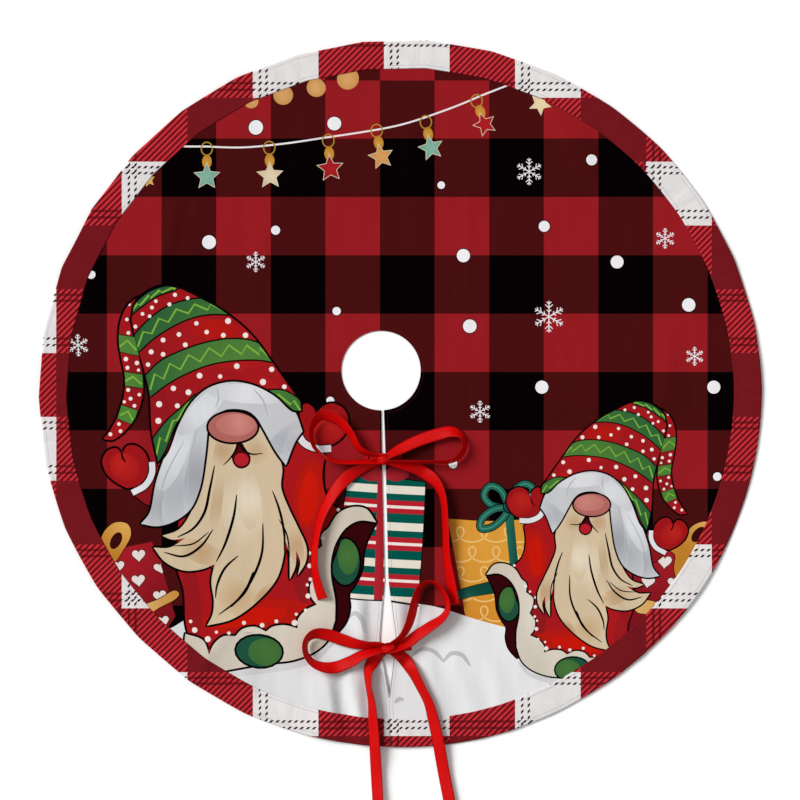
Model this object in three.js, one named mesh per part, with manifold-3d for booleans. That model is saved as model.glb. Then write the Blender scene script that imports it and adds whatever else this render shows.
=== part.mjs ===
// A round Christmas tree skirt, laid open on the floor with its two ribbon ties tied in bows.
// Printed face cloth and lining are bagged out together, a shaped plaid band is folded over the hem,
// and a slit runs from the trunk hole to the hem so that the skirt goes round a tree.
// Frame: millimetres, +Z up, origin at the middle of the skirt's outline on the floor, slit towards -Y.
import * as THREE from 'three';
import { mergeVertices } from 'three/addons/utils/BufferGeometryUtils.js';
import Module from 'manifold-3d';

const wasm = await Module();
wasm.setup();

// ---- Driving dimensions ----

const skirtWidth = 914; // 36 inches, across the slit's line
const skirtDepth = 894; // along the slit's line, which low folds in the cloth make a little shorter
const trunkHoleDiameter = 100;
const trunkHoleX = -24;
const trunkHoleY = 29;
const borderWidth = 35; // plaid band seen from above
const borderReturn = 12; // the same band turned under the hem
const facingWidth = 20; // strips that back the trunk hole and both edges of the slit
const clothThickness = 0.8; // one layer of cloth
const threadThickness = 0.4;
const stitchInset = 4; // from a finished edge to the row of topstitching
const layGap = 0.3; // clearance between pieces that touch

// The slit is straight, and its two edges spread most at the lower tie.
const slitNeckX = -22;
const slitHemX = -12;
// [distance in front of the trunk hole, half of the gap there]
const slitSpread = [[0, 1.9], [60, 2.6], [215, 2.6], [290, 10.5], [361, layGap]];

const ribbonWidth = 16; // 5/8 inch satin
const ribbonThickness = 1;
const leadLength = 20; // from the sewn end of a tie to the slit's edge
const tailFall = [48, 90]; // a tail comes down onto the cloth between these distances along it
const tieInset = [62, 300]; // the two ties, in front of the trunk hole
const tackLength = 12;
const tackWidth = 3;
const knotLength = 22;
const knotSwell = 0.5; // how far the knot stands out past the ribbon's width, each way

// How finely the round edges are divided.
const hemSegments = 96;
const holeSegments = 48;

// ---- Heights of the layers, and the knot's height and width ----

const faceTop = 2 * clothThickness;
const bandTop = 3 * clothThickness;
const leadBottom = threadThickness + layGap; // above whichever cloth lies below
const tailBottom = leadBottom + ribbonThickness + threadThickness + layGap; // above the tack
const loopBottom = tailBottom + ribbonThickness + 2 * layGap;
const knotDiameter = ribbonWidth + 2 * knotSwell;

// ---- Materials ----

const cloth = (color) => new THREE.MeshStandardMaterial({ color, roughness: 0.85, metalness: 0 });
const printedCloth = cloth(0x6b1519);
const plaidCloth = cloth(0x8b1c22);
const liningCloth = cloth(0xe6e0d4);
const sewingThread = cloth(0x5a0f14);
const redSatin = new THREE.MeshStandardMaterial({ color: 0xd20c0c, roughness: 0.45, metalness: 0 });

const skirt = new THREE.Group();

function addPiece(name, geometry, material) {
  const mesh = new THREE.Mesh(geometry, material);
  mesh.name = name;
  skirt.add(mesh);
}

// ---- Joining and cutting ----

function toSolid(geometry) {
  const bare = geometry.clone();
  bare.deleteAttribute('normal');
  bare.deleteAttribute('uv');
  const merged = mergeVertices(bare, 1e-4);
  return new wasm.Manifold(new wasm.Mesh({
    numProp: 3,
    vertProperties: new Float32Array(merged.attributes.position.array),
    triVerts: new Uint32Array(merged.index.array),
  }));
}

function toGeometry(solid) {
  const { vertProperties, triVerts } = solid.getMesh();
  const geometry = new THREE.BufferGeometry();
  geometry.setAttribute('position', new THREE.BufferAttribute(vertProperties, 3));
  geometry.setIndex(new THREE.BufferAttribute(triVerts, 1));
  geometry.computeVertexNormals();
  return geometry;
}

// ---- Outlines ----

// The skirt's edge, or a curve that lies inside it by inset.
const hemCurve = (inset) => ({
  x: 0, y: 0, rx: skirtWidth / 2 - inset, ry: skirtDepth / 2 - inset, segments: hemSegments,
});

// The trunk hole's edge, or a curve that lies outside it by outset.
const holeCurve = (outset) => ({
  x: trunkHoleX,
  y: trunkHoleY,
  rx: trunkHoleDiameter / 2 + outset,
  ry: trunkHoleDiameter / 2 + outset,
  segments: holeSegments,
});

const neckY = trunkHoleY - trunkHoleDiameter / 2;
const hemY = -skirtDepth / 2;

// The middle of the slit at y.
function slitMiddle(y) {
  return slitNeckX + (slitHemX - slitNeckX) * (neckY - y) / (neckY - hemY);
}

// Half of the slit's gap at y, straight between the stations of slitSpread.
function slitHalfGap(y) {
  const run = neckY - y;
  const next = slitSpread.findIndex(([at]) => at > run);
  if (next === 0) return slitSpread[0][1];
  if (next < 0) return slitSpread[slitSpread.length - 1][1];
  const [[at0, gap0], [at1, gap1]] = [slitSpread[next - 1], slitSpread[next]];
  return gap0 + (gap1 - gap0) * (run - at0) / (at1 - at0);
}

// The slit's left (side -1) or right (side 1) edge at y, drawn back from it by inset.
const slitEdge = (side, y, inset) => slitMiddle(y) + side * (slitHalfGap(y) + inset);

// Where a curve meets an edge of the slit: the front point of the curve at that x.
function meet(curve, side, inset) {
  let y = curve.y - curve.ry;
  for (let i = 0; i < 6; i += 1) {
    const across = (slitEdge(side, y, inset) - curve.x) / curve.rx;
    y = curve.y - curve.ry * Math.sqrt(1 - across * across);
  }
  return new THREE.Vector2(slitEdge(side, y, inset), y);
}

// Points of a curve from one point to another, counterclockwise, or clockwise with turn -1.
function arc(curve, from, to, turn) {
  const angleOf = (p) => Math.atan2((p.y - curve.y) / curve.ry, (p.x - curve.x) / curve.rx);
  const start = angleOf(from);
  let sweep = (angleOf(to) - start) * turn;
  if (sweep <= 0) sweep += 2 * Math.PI;
  return Array.from({ length: curve.segments + 1 }, (_, i) => {
    const angle = start + turn * sweep * i / curve.segments;
    return new THREE.Vector2(curve.x + curve.rx * Math.cos(angle), curve.y + curve.ry * Math.sin(angle));
  });
}

// One edge of the slit from y0 to y1, with a point at each station between them.
function slitLine(side, y0, y1, inset) {
  const low = Math.min(y0, y1);
  const high = Math.max(y0, y1);
  const stations = slitSpread.map(([at]) => neckY - at).filter((y) => y > low + 1 && y < high - 1);
  const ys = [y0, ...stations.sort((a, b) => (y1 > y0 ? a - b : b - a)), y1];
  return ys.map((y) => new THREE.Vector2(slitEdge(side, y, inset), y));
}

// A ring between two curves that the slit cuts through, drawn back from the slit by inset.
function slitRing(outer, inner, inset = 0) {
  const [outRight, outLeft] = [1, -1].map((side) => meet(outer, side, inset));
  const [inRight, inLeft] = [1, -1].map((side) => meet(inner, side, inset));
  return new THREE.Shape([
    ...arc(outer, outRight, outLeft, 1),
    ...slitLine(-1, outLeft.y, inLeft.y, inset).slice(1, -1),
    ...arc(inner, inLeft, inRight, -1),
    ...slitLine(1, inRight.y, outRight.y, inset).slice(1, -1),
  ]);
}

// A strip that runs beside one edge of the slit, between two distances from it, with square ends
// that stay clear of the curves it runs between.
function slitStrip(side, outer, inner, near, far) {
  const y0 = Math.min(meet(inner, side, near).y, meet(inner, side, far).y);
  const y1 = Math.max(meet(outer, side, near).y, meet(outer, side, far).y);
  return new THREE.Shape([
    ...slitLine(side, y0, y1, near),
    ...slitLine(side, y1, y0, far),
  ]);
}

function plate(shape, bottom, thickness) {
  const geometry = new THREE.ExtrudeGeometry(shape, { depth: thickness, bevelEnabled: false });
  return geometry.translate(0, 0, bottom);
}

// ---- Face cloth, lining and facings ----

const insideBand = hemCurve(clothThickness + layGap);
const besideReturn = hemCurve(borderReturn + layGap);
const besideFacing = holeCurve(facingWidth + layGap);

addPiece(
  'printed_face',
  plate(slitRing(insideBand, holeCurve(0)), clothThickness, clothThickness),
  printedCloth,
);
addPiece(
  'lining',
  plate(slitRing(besideReturn, besideFacing, facingWidth + layGap), 0, clothThickness),
  liningCloth,
);
addPiece(
  'neck_facing',
  plate(slitRing(holeCurve(facingWidth), holeCurve(0)), 0, clothThickness),
  printedCloth,
);
for (const [name, side] of [['slit_facing_left', -1], ['slit_facing_right', 1]]) {
  const strip = slitStrip(side, besideReturn, besideFacing, 0, facingWidth);
  addPiece(name, plate(strip, 0, clothThickness), printedCloth);
}

// ---- Plaid band, folded over the hem ----

function plaidBand() {
  const top = toSolid(plate(slitRing(hemCurve(0), hemCurve(borderWidth)), faceTop, clothThickness));
  const rim = toSolid(plate(slitRing(hemCurve(0), hemCurve(clothThickness)), 0, bandTop));
  const under = toSolid(plate(slitRing(hemCurve(0), hemCurve(borderReturn)), 0, clothThickness));
  return toGeometry(top.add(rim).add(under));
}
addPiece('plaid_border_band', plaidBand(), plaidCloth);

// ---- Topstitching ----

function stitchRing(outer, inner, bottom) {
  return plate(slitRing(outer, inner, threadThickness), bottom, threadThickness);
}
const bandSeam = borderWidth - stitchInset;
addPiece(
  'band_seam_stitching',
  stitchRing(hemCurve(bandSeam - threadThickness), hemCurve(bandSeam), bandTop),
  sewingThread,
);
addPiece(
  'hem_stitching',
  stitchRing(hemCurve(stitchInset - threadThickness), hemCurve(stitchInset), bandTop),
  sewingThread,
);
addPiece(
  'neck_stitching',
  stitchRing(holeCurve(stitchInset + threadThickness), holeCurve(stitchInset), faceTop),
  sewingThread,
);
for (const [name, side] of [['slit_stitching_left', -1], ['slit_stitching_right', 1]]) {
  const row = slitStrip(
    side,
    hemCurve(borderWidth + layGap),
    holeCurve(stitchInset + threadThickness + layGap),
    stitchInset,
    stitchInset + threadThickness,
  );
  addPiece(name, plate(row, faceTop, threadThickness), sewingThread);
}

// ---- Ribbon ties ----

// A curve whose section never rolls: its first axis stays upright, so that a ribbon lies flat on the
// cloth, or stands on its edge when its section is turned.
class LevelCurve extends THREE.CatmullRomCurve3 {
  computeFrenetFrames(segments) {
    const up = new THREE.Vector3(0, 0, 1);
    const tangents = Array.from({ length: segments + 1 }, (_, i) => this.getTangentAt(i / segments));
    const normals = tangents.map((t) => up.clone().addScaledVector(t, -up.dot(t)).normalize());
    const binormals = tangents.map((t, i) => new THREE.Vector3().crossVectors(t, normals[i]));
    return { tangents, normals, binormals };
  }
}

function ribbonAlong(points, standing) {
  const [high, wide] = standing ? [ribbonWidth, ribbonThickness] : [ribbonThickness, ribbonWidth];
  const section = new THREE.Shape([
    new THREE.Vector2(-high / 2, -wide / 2),
    new THREE.Vector2(high / 2, -wide / 2),
    new THREE.Vector2(high / 2, wide / 2),
    new THREE.Vector2(-high / 2, wide / 2),
  ]);
  const curve = new LevelCurve(points);
  const steps = Math.max(4, Math.round(curve.getLength() / 8));
  return new THREE.ExtrudeGeometry(section, { steps, extrudePath: curve, bevelEnabled: false });
}

// The top of what lies below a point on a ribbon's route: the face cloth, the band, and then the
// floor, with slopes between them that start clear of each edge.
function clothBelow(x, y) {
  const across = Math.hypot(x / skirtWidth, y / skirtDepth) * 2;
  const inside = (1 - across) * skirtDepth / 2;
  const clear = ribbonWidth;
  const onBand = 1 - THREE.MathUtils.smoothstep(inside, borderWidth + clear, borderWidth + 2 * clear);
  const offHem = THREE.MathUtils.smoothstep(-inside, clear, 3 * clear);
  const overCloth = faceTop + (bandTop + threadThickness - faceTop) * onBand;
  return overCloth * (1 - offHem);
}

// A tail leaves the knot above the lead and comes down to the cloth past the lead's sewn end.
function tailRoute(knot, offsets) {
  let run = 0;
  return offsets.map(([dx, dy], i) => {
    if (i > 0) run += Math.hypot(dx - offsets[i - 1][0], dy - offsets[i - 1][1]);
    const down = THREE.MathUtils.smoothstep(run, tailFall[0], tailFall[1]);
    const [x, y] = [knot.x + dx, knot.y + dy];
    const bottom = clothBelow(x, y) + tailBottom + (layGap - tailBottom) * down;
    return new THREE.Vector3(x, y, bottom + ribbonThickness / 2);
  });
}

// A loop stands on its edge, clear above the tail wherever the two cross.
function loopRoute(knot, offsets) {
  return offsets.map(([dx, dy]) => {
    const [x, y] = [knot.x + dx, knot.y + dy];
    return new THREE.Vector3(x, y, clothBelow(x, y) + loopBottom + ribbonWidth / 2);
  });
}

// Each route is a list of offsets from its knot, as the ribbon was let fall.
const bows = {
  upper: {
    loop_left: [[-2, 3], [-30, 13], [-42, 33], [-58, 50], [-78, 56], [-91, 39], [-88, 17], [-74, 3],
      [-56, -3], [-30, -3], [-2, -3]],
    loop_right: [[2, 3], [21, 13], [45, 24], [70, 32], [86, 35], [99, 29], [102, 18], [97, 6], [86, -2],
      [62, -3], [38, -3], [2, -3]],
    tail_left: [[-4, -2], [-18, -7], [-35, -15], [-55, -32], [-70, -54], [-82, -79], [-87, -112],
      [-87, -139], [-82, -162], [-78, -176]],
    tail_right: [[4, -2], [18, -5], [34, -9], [50, -16], [65, -28], [74, -46], [78, -87], [79, -119],
      [84, -151], [89, -183]],
  },
  lower: {
    loop_left: [[-2, 4], [-37, 5], [-58, 10], [-80, 17], [-97, 18], [-107, 10], [-108, -5], [-99, -18],
      [-83, -24], [-68, -24], [-49, -17], [-29, -7], [-2, -2]],
    loop_right: [[2, -2], [24, 7], [36, 16], [52, 27], [69, 39], [75, 50], [73, 64], [65, 77], [52, 84],
      [40, 77], [34, 61], [30, 43], [25, 28], [16, 14], [2, 4]],
    tail_left: [[-4, -4], [-14, -8], [-22, -16], [-27, -29], [-26, -44], [-21, -67], [-20, -92],
      [-18, -121], [-16, -156], [-13, -192], [-11, -214]],
    tail_right: [[4, -4], [14, -9], [21, -16], [29, -28], [40, -49], [50, -69], [56, -90], [62, -117],
      [69, -156], [77, -192], [81, -214]],
  },
};

// The bow's tight middle, a little larger by grow to cut what meets it.
function knotShape(knot, grow) {
  const geometry = new THREE.SphereGeometry(0.5, 16, 10);
  geometry.scale(knotLength + 2 * grow, knotDiameter + 2 * grow, knotDiameter + 2 * grow);
  return geometry.translate(knot.x, knot.y, faceTop + leadBottom + knotDiameter / 2);
}

function addBow(name, knot, routes) {
  const room = toSolid(knotShape(knot, layGap));
  const meeting = (geometry) => toGeometry(toSolid(geometry).subtract(room));
  addPiece(`${name}_knot`, knotShape(knot, 0), redSatin);
  for (const [label, side] of [['left', -1], ['right', 1]]) {
    const loop = ribbonAlong(loopRoute(knot, routes[`loop_${label}`]), true);
    const tail = ribbonAlong(tailRoute(knot, routes[`tail_${label}`]), false);
    addPiece(`${name}_loop_${label}`, meeting(loop), redSatin);
    addPiece(`${name}_tail_${label}`, meeting(tail), redSatin);

    const sewn = slitEdge(side, knot.y, leadLength);
    const z = faceTop + leadBottom + ribbonThickness / 2;
    const ends = [sewn, knot.x + side * layGap].map((x) => new THREE.Vector3(x, knot.y, z));
    addPiece(`${name}_lead_${label}`, meeting(ribbonAlong(ends, false)), redSatin);

    const tack = new THREE.BoxGeometry(tackWidth, tackLength, threadThickness);
    const tackZ = faceTop + leadBottom + ribbonThickness + threadThickness / 2;
    tack.translate(sewn - side * tackWidth, knot.y, tackZ);
    addPiece(`${name}_tack_${label}`, tack, sewingThread);
  }
}

for (const [i, name] of ['upper', 'lower'].entries()) {
  const y = neckY - tieInset[i];
  addBow(name, { x: slitMiddle(y), y }, bows[name]);
}

export default skirt;
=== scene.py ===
import math

import bpy
import numpy as np
from mathutils.geometry import delaunay_2d_cdt
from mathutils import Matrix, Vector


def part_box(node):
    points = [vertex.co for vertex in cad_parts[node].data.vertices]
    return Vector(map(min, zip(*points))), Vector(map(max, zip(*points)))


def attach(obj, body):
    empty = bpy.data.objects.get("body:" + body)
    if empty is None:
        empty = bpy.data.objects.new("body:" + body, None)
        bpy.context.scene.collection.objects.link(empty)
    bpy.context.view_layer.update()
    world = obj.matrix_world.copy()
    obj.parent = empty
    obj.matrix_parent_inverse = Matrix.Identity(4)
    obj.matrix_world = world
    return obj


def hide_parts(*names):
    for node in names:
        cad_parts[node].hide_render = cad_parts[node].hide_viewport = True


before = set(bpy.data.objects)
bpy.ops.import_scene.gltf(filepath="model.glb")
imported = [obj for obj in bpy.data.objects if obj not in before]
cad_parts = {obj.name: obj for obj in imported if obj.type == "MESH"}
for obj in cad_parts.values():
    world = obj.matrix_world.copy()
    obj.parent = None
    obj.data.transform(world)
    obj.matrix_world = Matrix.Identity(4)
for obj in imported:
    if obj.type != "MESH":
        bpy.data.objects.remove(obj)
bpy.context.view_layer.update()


# ---- Camera ----
# It looks straight down on the skirt, which lies open on the floor with its slit towards the
# bottom of the view. A long lens from 5 m keeps the circle free of perspective.
MM = 0.001


def box_mm(name):
    """The low and the high corner of a CAD node's box, in mm."""
    return [np.array(corner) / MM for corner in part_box(name)]


band_low, band_high = box_mm("plaid_border_band")
half_width, half_depth = (band_high - band_low)[:2] / 2
view_width = 1010
view_y = -8.2
camera_height = 5000

camera_data = bpy.data.cameras.new("camera")
camera_data.lens = camera_data.sensor_width * camera_height / view_width
camera_data.clip_end = 50
camera = bpy.data.objects.new("camera", camera_data)
camera.location = (0, view_y * MM, camera_height * MM)
bpy.context.scene.collection.objects.link(camera)
bpy.context.scene.camera = camera


# ---- How the cloth lies ----
# Two thin layers of polyester, laid by hand: flat round the trunk hole, with low waves that grow
# towards the hem and a few soft folds where the slit's edges are drawn together by the ties.
cloth = 0.8  # mm for one layer of cloth with the air below it
face_top = 2 * cloth
band_top = 3 * cloth
band_width = 35

# [x, y, direction in degrees, half length, left width, right width, height] in mm, a row for each fold
folds = [
    [-87, -394, 101, 46, 34, 9, 6.5],
    [-56, -390, 101, 48, 9, 12, 6.5],
    [-50, -290, 97, 34, 10, 8, 4.6],
    [-2, -290, 95, 34, 8, 12, 4.2],
    [-14, -372, 92, 36, 6, 6, 0.9],
    [46, -378, 107, 50, 12, 11, 2.4],
    [84, -380, 109, 60, 12, 14, 2.4],
    [124, -376, 112, 60, 12, 12, 1.4],
    [160, -340, 116, 70, 14, 14, 1.4],
    [34, -288, 104, 36, 10, 10, 2.0],
    [-140, -366, 84, 50, 16, 16, 1.0],
    [-186, -340, 70, 60, 14, 14, 1.4],
    [213, 318, -62, 60, 8, 8, 2.2],
    [236, 300, -66, 75, 10, 10, 2.0],
    [-150, 245, 70, 110, 14, 14, 1.8],
    [-292, 190, 78, 90, 10, 10, 2.2],
    [-262, 196, 80, 70, 9, 9, 1.6],
    [120, 160, 82, 100, 14, 14, 1.4],
    [84, 170, 86, 90, 10, 10, 1.2],
    [-330, -60, 95, 110, 14, 14, 2.0],
    [330, -40, 84, 120, 16, 16, 2.0],
    [20, 250, 95, 110, 13, 13, 1.5],
    [-240, -330, 55, 60, 10, 10, 2.0],
    [270, -270, 120, 70, 10, 10, 2.4],
]


def lie(x, y, share=1.0):
    """Height of the cloth's underside. Waves of 7, 12 and 19 to the circle grow as the square of the
    distance past the middle. Each fold is a Gaussian ridge, with a width for its left and its right
    side, that fades out at its two ends. The lining takes only a share of each fold."""
    away = np.hypot(x / half_width, y / half_depth)
    around = np.arctan2(y, x)
    edge = np.clip((away - 0.5) / 0.5, 0, 1.2) ** 2
    wave = 0.55 * np.sin(7 * around + 0.4) + 0.4 * np.sin(12 * around + 2.1) + 0.3 * np.sin(19 * around)
    height = 1.25 * edge * (1.25 + wave)
    for fold_x, fold_y, direction, half_length, left, right, ridge in folds:
        c, s = math.cos(math.radians(direction)), math.sin(math.radians(direction))
        along = (x - fold_x) * c + (y - fold_y) * s
        across = (y - fold_y) * c - (x - fold_x) * s
        width = np.where(across > 0, left, right)
        height = height + share * ridge * np.exp(-(across / width) ** 2 - (along / half_length) ** 4)
    return height


def step_up(value, low, high):
    """0 below low, 1 above high, and a smooth cubic step between them."""
    t = np.clip((value - low) / (high - low), 0, 1)
    return t * t * (3 - 2 * t)


def cloth_top(x, y):
    """Height of what a ribbon rests on: the face cloth, the border band, then down to the floor."""
    inside = (1 - np.hypot(x / half_width, y / half_depth)) * half_depth
    over_band = step_up(-inside, -band_width - 12, -band_width)
    over_floor = step_up(-inside, 0, 12)
    return (lie(x, y) + face_top + (band_top - face_top) * over_band) * (1 - over_floor)


# ---- Satin ribbon ties ----
# Four lengths of 16 mm single-face satin, woven polyester with a smooth warp face. Each is sewn
# down 20 mm from the slit's edge, tied with its opposite number in a bow, and cut off square.
ribbon_width = 16
ribbon_thickness = 0.5
lead_length = 20
lead_rise = {("lower", 1): 5}  # how far up the slit a sewn end sits from its knot
lead_clear, loop_clear, tail_clear = 0.9, 3.6, 0.6  # mm between the cloth and a ribbon's lower edge
knot_clear = 1.9  # mm more where a tail leaves its knot
side_names = {-1: "left", 1: "right"}
hole_low, hole_high = box_mm("neck_facing")
facing_width = 20
hole_radius = (hole_high[0] - hole_low[0]) / 2 - facing_width
hole_x = (hole_low[0] + hole_high[0]) / 2
hole_y = hole_high[1] - facing_width - hole_radius
neck_y = hole_y - hole_radius
slit_neck_x = -22
slit_hem_x = -12
slit_run = [0, 60, 215, 290, 361]  # mm from the trunk hole, a station for each half gap
slit_half_gap = [1.9, 2.6, 2.6, 10.5, 0.3]

# Offsets in mm from the knot, with the ribbon's lean in degrees: 0 lies flat, 90 stands on its edge,
# and the sign says which edge is up.
bow_routes = {
    "upper": {
        "loop_left": [[-2, 3, 70], [-30, 13, 62], [-42, 33, 55], [-58, 50, 40], [-78, 56, 38],
                      [-91, 39, 68], [-88, 17, 74], [-74, 3, 74], [-56, -3, 72], [-30, -3, 70],
                      [-2, -3, 70]],
        "loop_right": [[2, 3, 60], [21, 13, 35], [45, 24, 22], [70, 32, 20], [86, 35, 35], [99, 29, 62],
                       [102, 18, 66], [97, 6, 66], [86, -2, 70], [62, -3, 76], [38, -3, 76], [2, -3, 70]],
        "tail_left": [[-4, -2, 60], [-18, -7, 44], [-35, -15, 20], [-55, -32, -14], [-70, -54, -38],
                      [-81, -79, -52], [-87, -112, -58], [-87, -139, -54], [-82, -162, -44],
                      [-77, -176, -36]],
        "tail_right": [[4, -2, 60], [18, -5, 44], [34, -9, 24], [50, -16, 0], [65, -28, -34],
                       [74, -46, -56], [78, -87, -60], [79, -119, -56], [84, -151, -44], [89, -183, -32]],
    },
    "lower": {
        "loop_left": [[-2, 4, 70], [-36, 5, 40], [-56, 10, 20], [-77, 17, 20], [-93, 18, 40],
                      [-103, 10, 62], [-104, -5, 66], [-95, -18, 58], [-80, -24, 40], [-66, -24, 25],
                      [-48, -17, 30], [-29, -7, 45], [-2, -2, 70]],
        "loop_right": [[2, -2, 60], [24, 7, 35], [36, 16, 35], [52, 27, 42], [69, 39, 58], [75, 50, 66],
                       [73, 64, 68], [65, 77, 72], [52, 84, 73], [40, 77, 66], [34, 61, 54], [30, 43, 48],
                       [25, 28, 52], [16, 14, 62], [2, 4, 70]],
        "tail_left": [[-4, -4, 60], [-12, -9, 40], [-19, -17, 0], [-25, -30, -46], [-25, -46, -62],
                      [-21, -67, -56], [-19, -92, -42], [-17, -121, -34], [-15, -156, -30], [-13, -192, -32],
                      [-12, -214, -34]],
        "tail_right": [[4, -4, 60], [14, -9, 34], [22, -16, 6], [30, -28, -30], [41, -49, -44],
                       [51, -69, -42], [57, -90, -30], [63, -117, -24], [70, -156, -22], [77, -192, -22],
                       [81, -214, -22]],
    },
}
knots = {bow: sum(box_mm(bow + "_knot")) / 2 for bow in bow_routes}


def slit_edge(side, y, inset=0):
    """x of the slit's left (-1) or right (1) edge at y: a straight middle line, and a gap on each
    side of it that changes in straight runs between stations along the slit."""
    run = neck_y - y
    middle = slit_neck_x + (slit_hem_x - slit_neck_x) * run / (neck_y + half_depth)
    return middle + side * (np.interp(run, slit_run, slit_half_gap) + inset)


def travelled(line):
    """Distance along a line of points, up to each of them."""
    return np.append(0, np.cumsum(np.linalg.norm(np.diff(line, axis=0), axis=1)))


def smooth_line(points, step, closed=False):
    """Points at equal steps along a centripetal Catmull-Rom curve through the given points. Columns
    past the third, such as a lean, are carried along but don't count in the distance."""
    p = np.array(points, float)
    p = np.vstack([p[-1:], p, p[:2]] if closed else [2 * p[:1] - p[1:2], p, 2 * p[-1:] - p[-2:-1]])
    gap = np.sqrt(np.linalg.norm(np.diff(p[:, :3], axis=0), axis=1)) + 1e-9
    slope = np.diff(p, axis=0) / gap[:, None]
    chord = (p[2:] - p[:-2]) / (gap[1:] + gap[:-1])[:, None]
    tangent = slope[:-1] - chord + slope[1:]
    t = np.linspace(0, 1, 25)[None, :-1, None]
    a, b, width = p[1:-2, None], p[2:-1, None], gap[1:-1, None, None]
    pull_a, pull_b = tangent[:-1, None] * width, tangent[1:, None] * width
    curve = (
        (2 * t**3 - 3 * t**2 + 1) * a + (t**3 - 2 * t**2 + t) * pull_a
        + (3 * t**2 - 2 * t**3) * b + (t**3 - t**2) * pull_b
    ).reshape(-1, p.shape[1])
    curve = np.vstack([curve, p[-2:-1]])
    travel = travelled(curve[:, :3])
    stations = np.linspace(0, travel[-1], max(3, int(round(travel[-1] / step)) + 1))
    line = np.stack([np.interp(stations, travel, column) for column in curve.T], axis=1)
    return line[:-1] if closed else line


def unit(vectors):
    """Each vector at length 1."""
    return vectors / np.linalg.norm(vectors, axis=-1, keepdims=True)


def ribbon_sides(line, lean):
    """Along, across and facing directions of a ribbon. Across starts level, at the right of the way
    along, and is turned up by the lean about the way along."""
    along = unit(np.gradient(line, axis=0))
    level = unit(np.cross(along, [0, 0, 1]))
    up = np.cross(level, along)
    c, s = np.cos(lean)[:, None], np.sin(lean)[:, None]
    return along, c * level + s * up, c * up - s * level


def new_piece(name, vertices, faces, material, smooth=True):
    """A mesh object at the origin, from points in mm, with its material, on the root."""
    mesh = bpy.data.meshes.new(name)
    mesh.from_pydata(np.asarray(vertices) * MM, [], faces)
    mesh.polygons.foreach_set("use_smooth", np.full(len(mesh.polygons), smooth))
    mesh.materials.append(material)
    piece = bpy.data.objects.new(name, mesh)
    bpy.context.scene.collection.objects.link(piece)
    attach(piece, "root")
    return piece


def grid_faces(rows, columns, closed=False):
    """Quads between neighbouring rows and columns of points, round the columns too when closed."""
    across = np.arange(columns if closed else columns - 1)
    corner = np.arange(rows - 1)[:, None] * columns + across
    beside = np.arange(rows - 1)[:, None] * columns + (across + 1) % columns
    return np.stack([corner, beside, beside + columns, corner + columns], axis=-1).reshape(-1, 4).tolist()


def tube_faces(rows, columns):
    """A closed profile carried along a path, with both ends closed by one face."""
    first = list(range(columns))[::-1]
    last = list(range((rows - 1) * columns, rows * columns))
    return grid_faces(rows, columns, closed=True) + [first, last]


def linear(code):
    """An sRGB hex colour as linear red, green, blue and 1."""
    value = np.array([int(code[i:i + 2], 16) for i in (1, 3, 5)]) / 255
    return (*np.where(value <= 0.04045, value / 12.92, ((value + 0.055) / 1.055) ** 2.4), 1)


def node(tree, kind, sockets=None, **settings):
    """Adds a shader node with its settings. Each socket gets a value, or a link from another node's
    first output or from the output given."""
    made = tree.nodes.new("ShaderNode" + kind)
    for key, value in settings.items():
        setattr(made, key, value)
    for key, value in (sockets or {}).items():
        if isinstance(value, bpy.types.Node):
            tree.links.new(value.outputs[0], made.inputs[key])
        elif isinstance(value, bpy.types.NodeSocket):
            tree.links.new(value, made.inputs[key])
        else:
            made.inputs[key].default_value = value
    return made


def new_material(name):
    """An empty material and its node tree."""
    material = bpy.data.materials.new(name)
    material.use_nodes = True
    material.node_tree.nodes.clear()
    return material, material.node_tree


# Warp-faced satin is smooth along its length and shows faint cross ribs. The ribs are 0.25 mm apart
# on the real ribbon and are drawn at 1.3 mm so that they show. Long lighter streaks along it are painted
# sheen, and the last 1.4 mm at each edge is raised and painted darker, painted shade at the edges.
satin, tree = new_material("red_polyester_satin_warp_faced")
uv = node(tree, "UVMap", uv_map="ribbon")
place = node(tree, "SeparateXYZ", {0: uv})
rib = node(tree, "Math", {0: place.outputs[0], 1: 2 * math.pi / 1.3}, operation="MULTIPLY")
rib = node(tree, "Math", {0: rib}, operation="SINE")
from_edge = node(tree, "Math", {0: place.outputs[1]}, operation="ABSOLUTE")
# Painted shade: the colour darkens in the last 1.4 mm at each edge, where the bump also rises.
selvedge_and_painted_shade = node(tree, "MapRange", {0: from_edge, 1: ribbon_width / 2 - 1.4, 2: ribbon_width / 2 - 0.6})
# Painted sheen: long streaks of lighter red run along the ribbon.
sheen_streak_place = node(tree, "CombineXYZ", {0: place.outputs[0], 1: place.outputs[1]})
sheen_streak_place = node(tree, "Mapping", {0: sheen_streak_place, "Scale": (0.02, 0.6, 1)})
painted_sheen_streak = node(tree, "TexNoise", {0: sheen_streak_place, "Scale": 1.0, "Detail": 3.0})
red = node(tree, "Mix", {0: painted_sheen_streak, 6: linear("#b60000"), 7: linear("#cc0101")}, data_type="RGBA")
red = node(tree, "Mix", {0: selvedge_and_painted_shade, 6: red.outputs[2], 7: linear("#a00000")}, data_type="RGBA")
height = node(tree, "Math", {0: rib, 1: selvedge_and_painted_shade}, operation="ADD")
bump = node(tree, "Bump", {"Strength": 0.18, "Distance": 0.0002, "Height": height})
shader = node(tree, "BsdfPrincipled", {
    "Base Color": red.outputs[2], "Roughness": 0.5, "Specular IOR Level": 0.09, "Normal": bump,
})
node(tree, "OutputMaterial", {0: shader})


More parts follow.
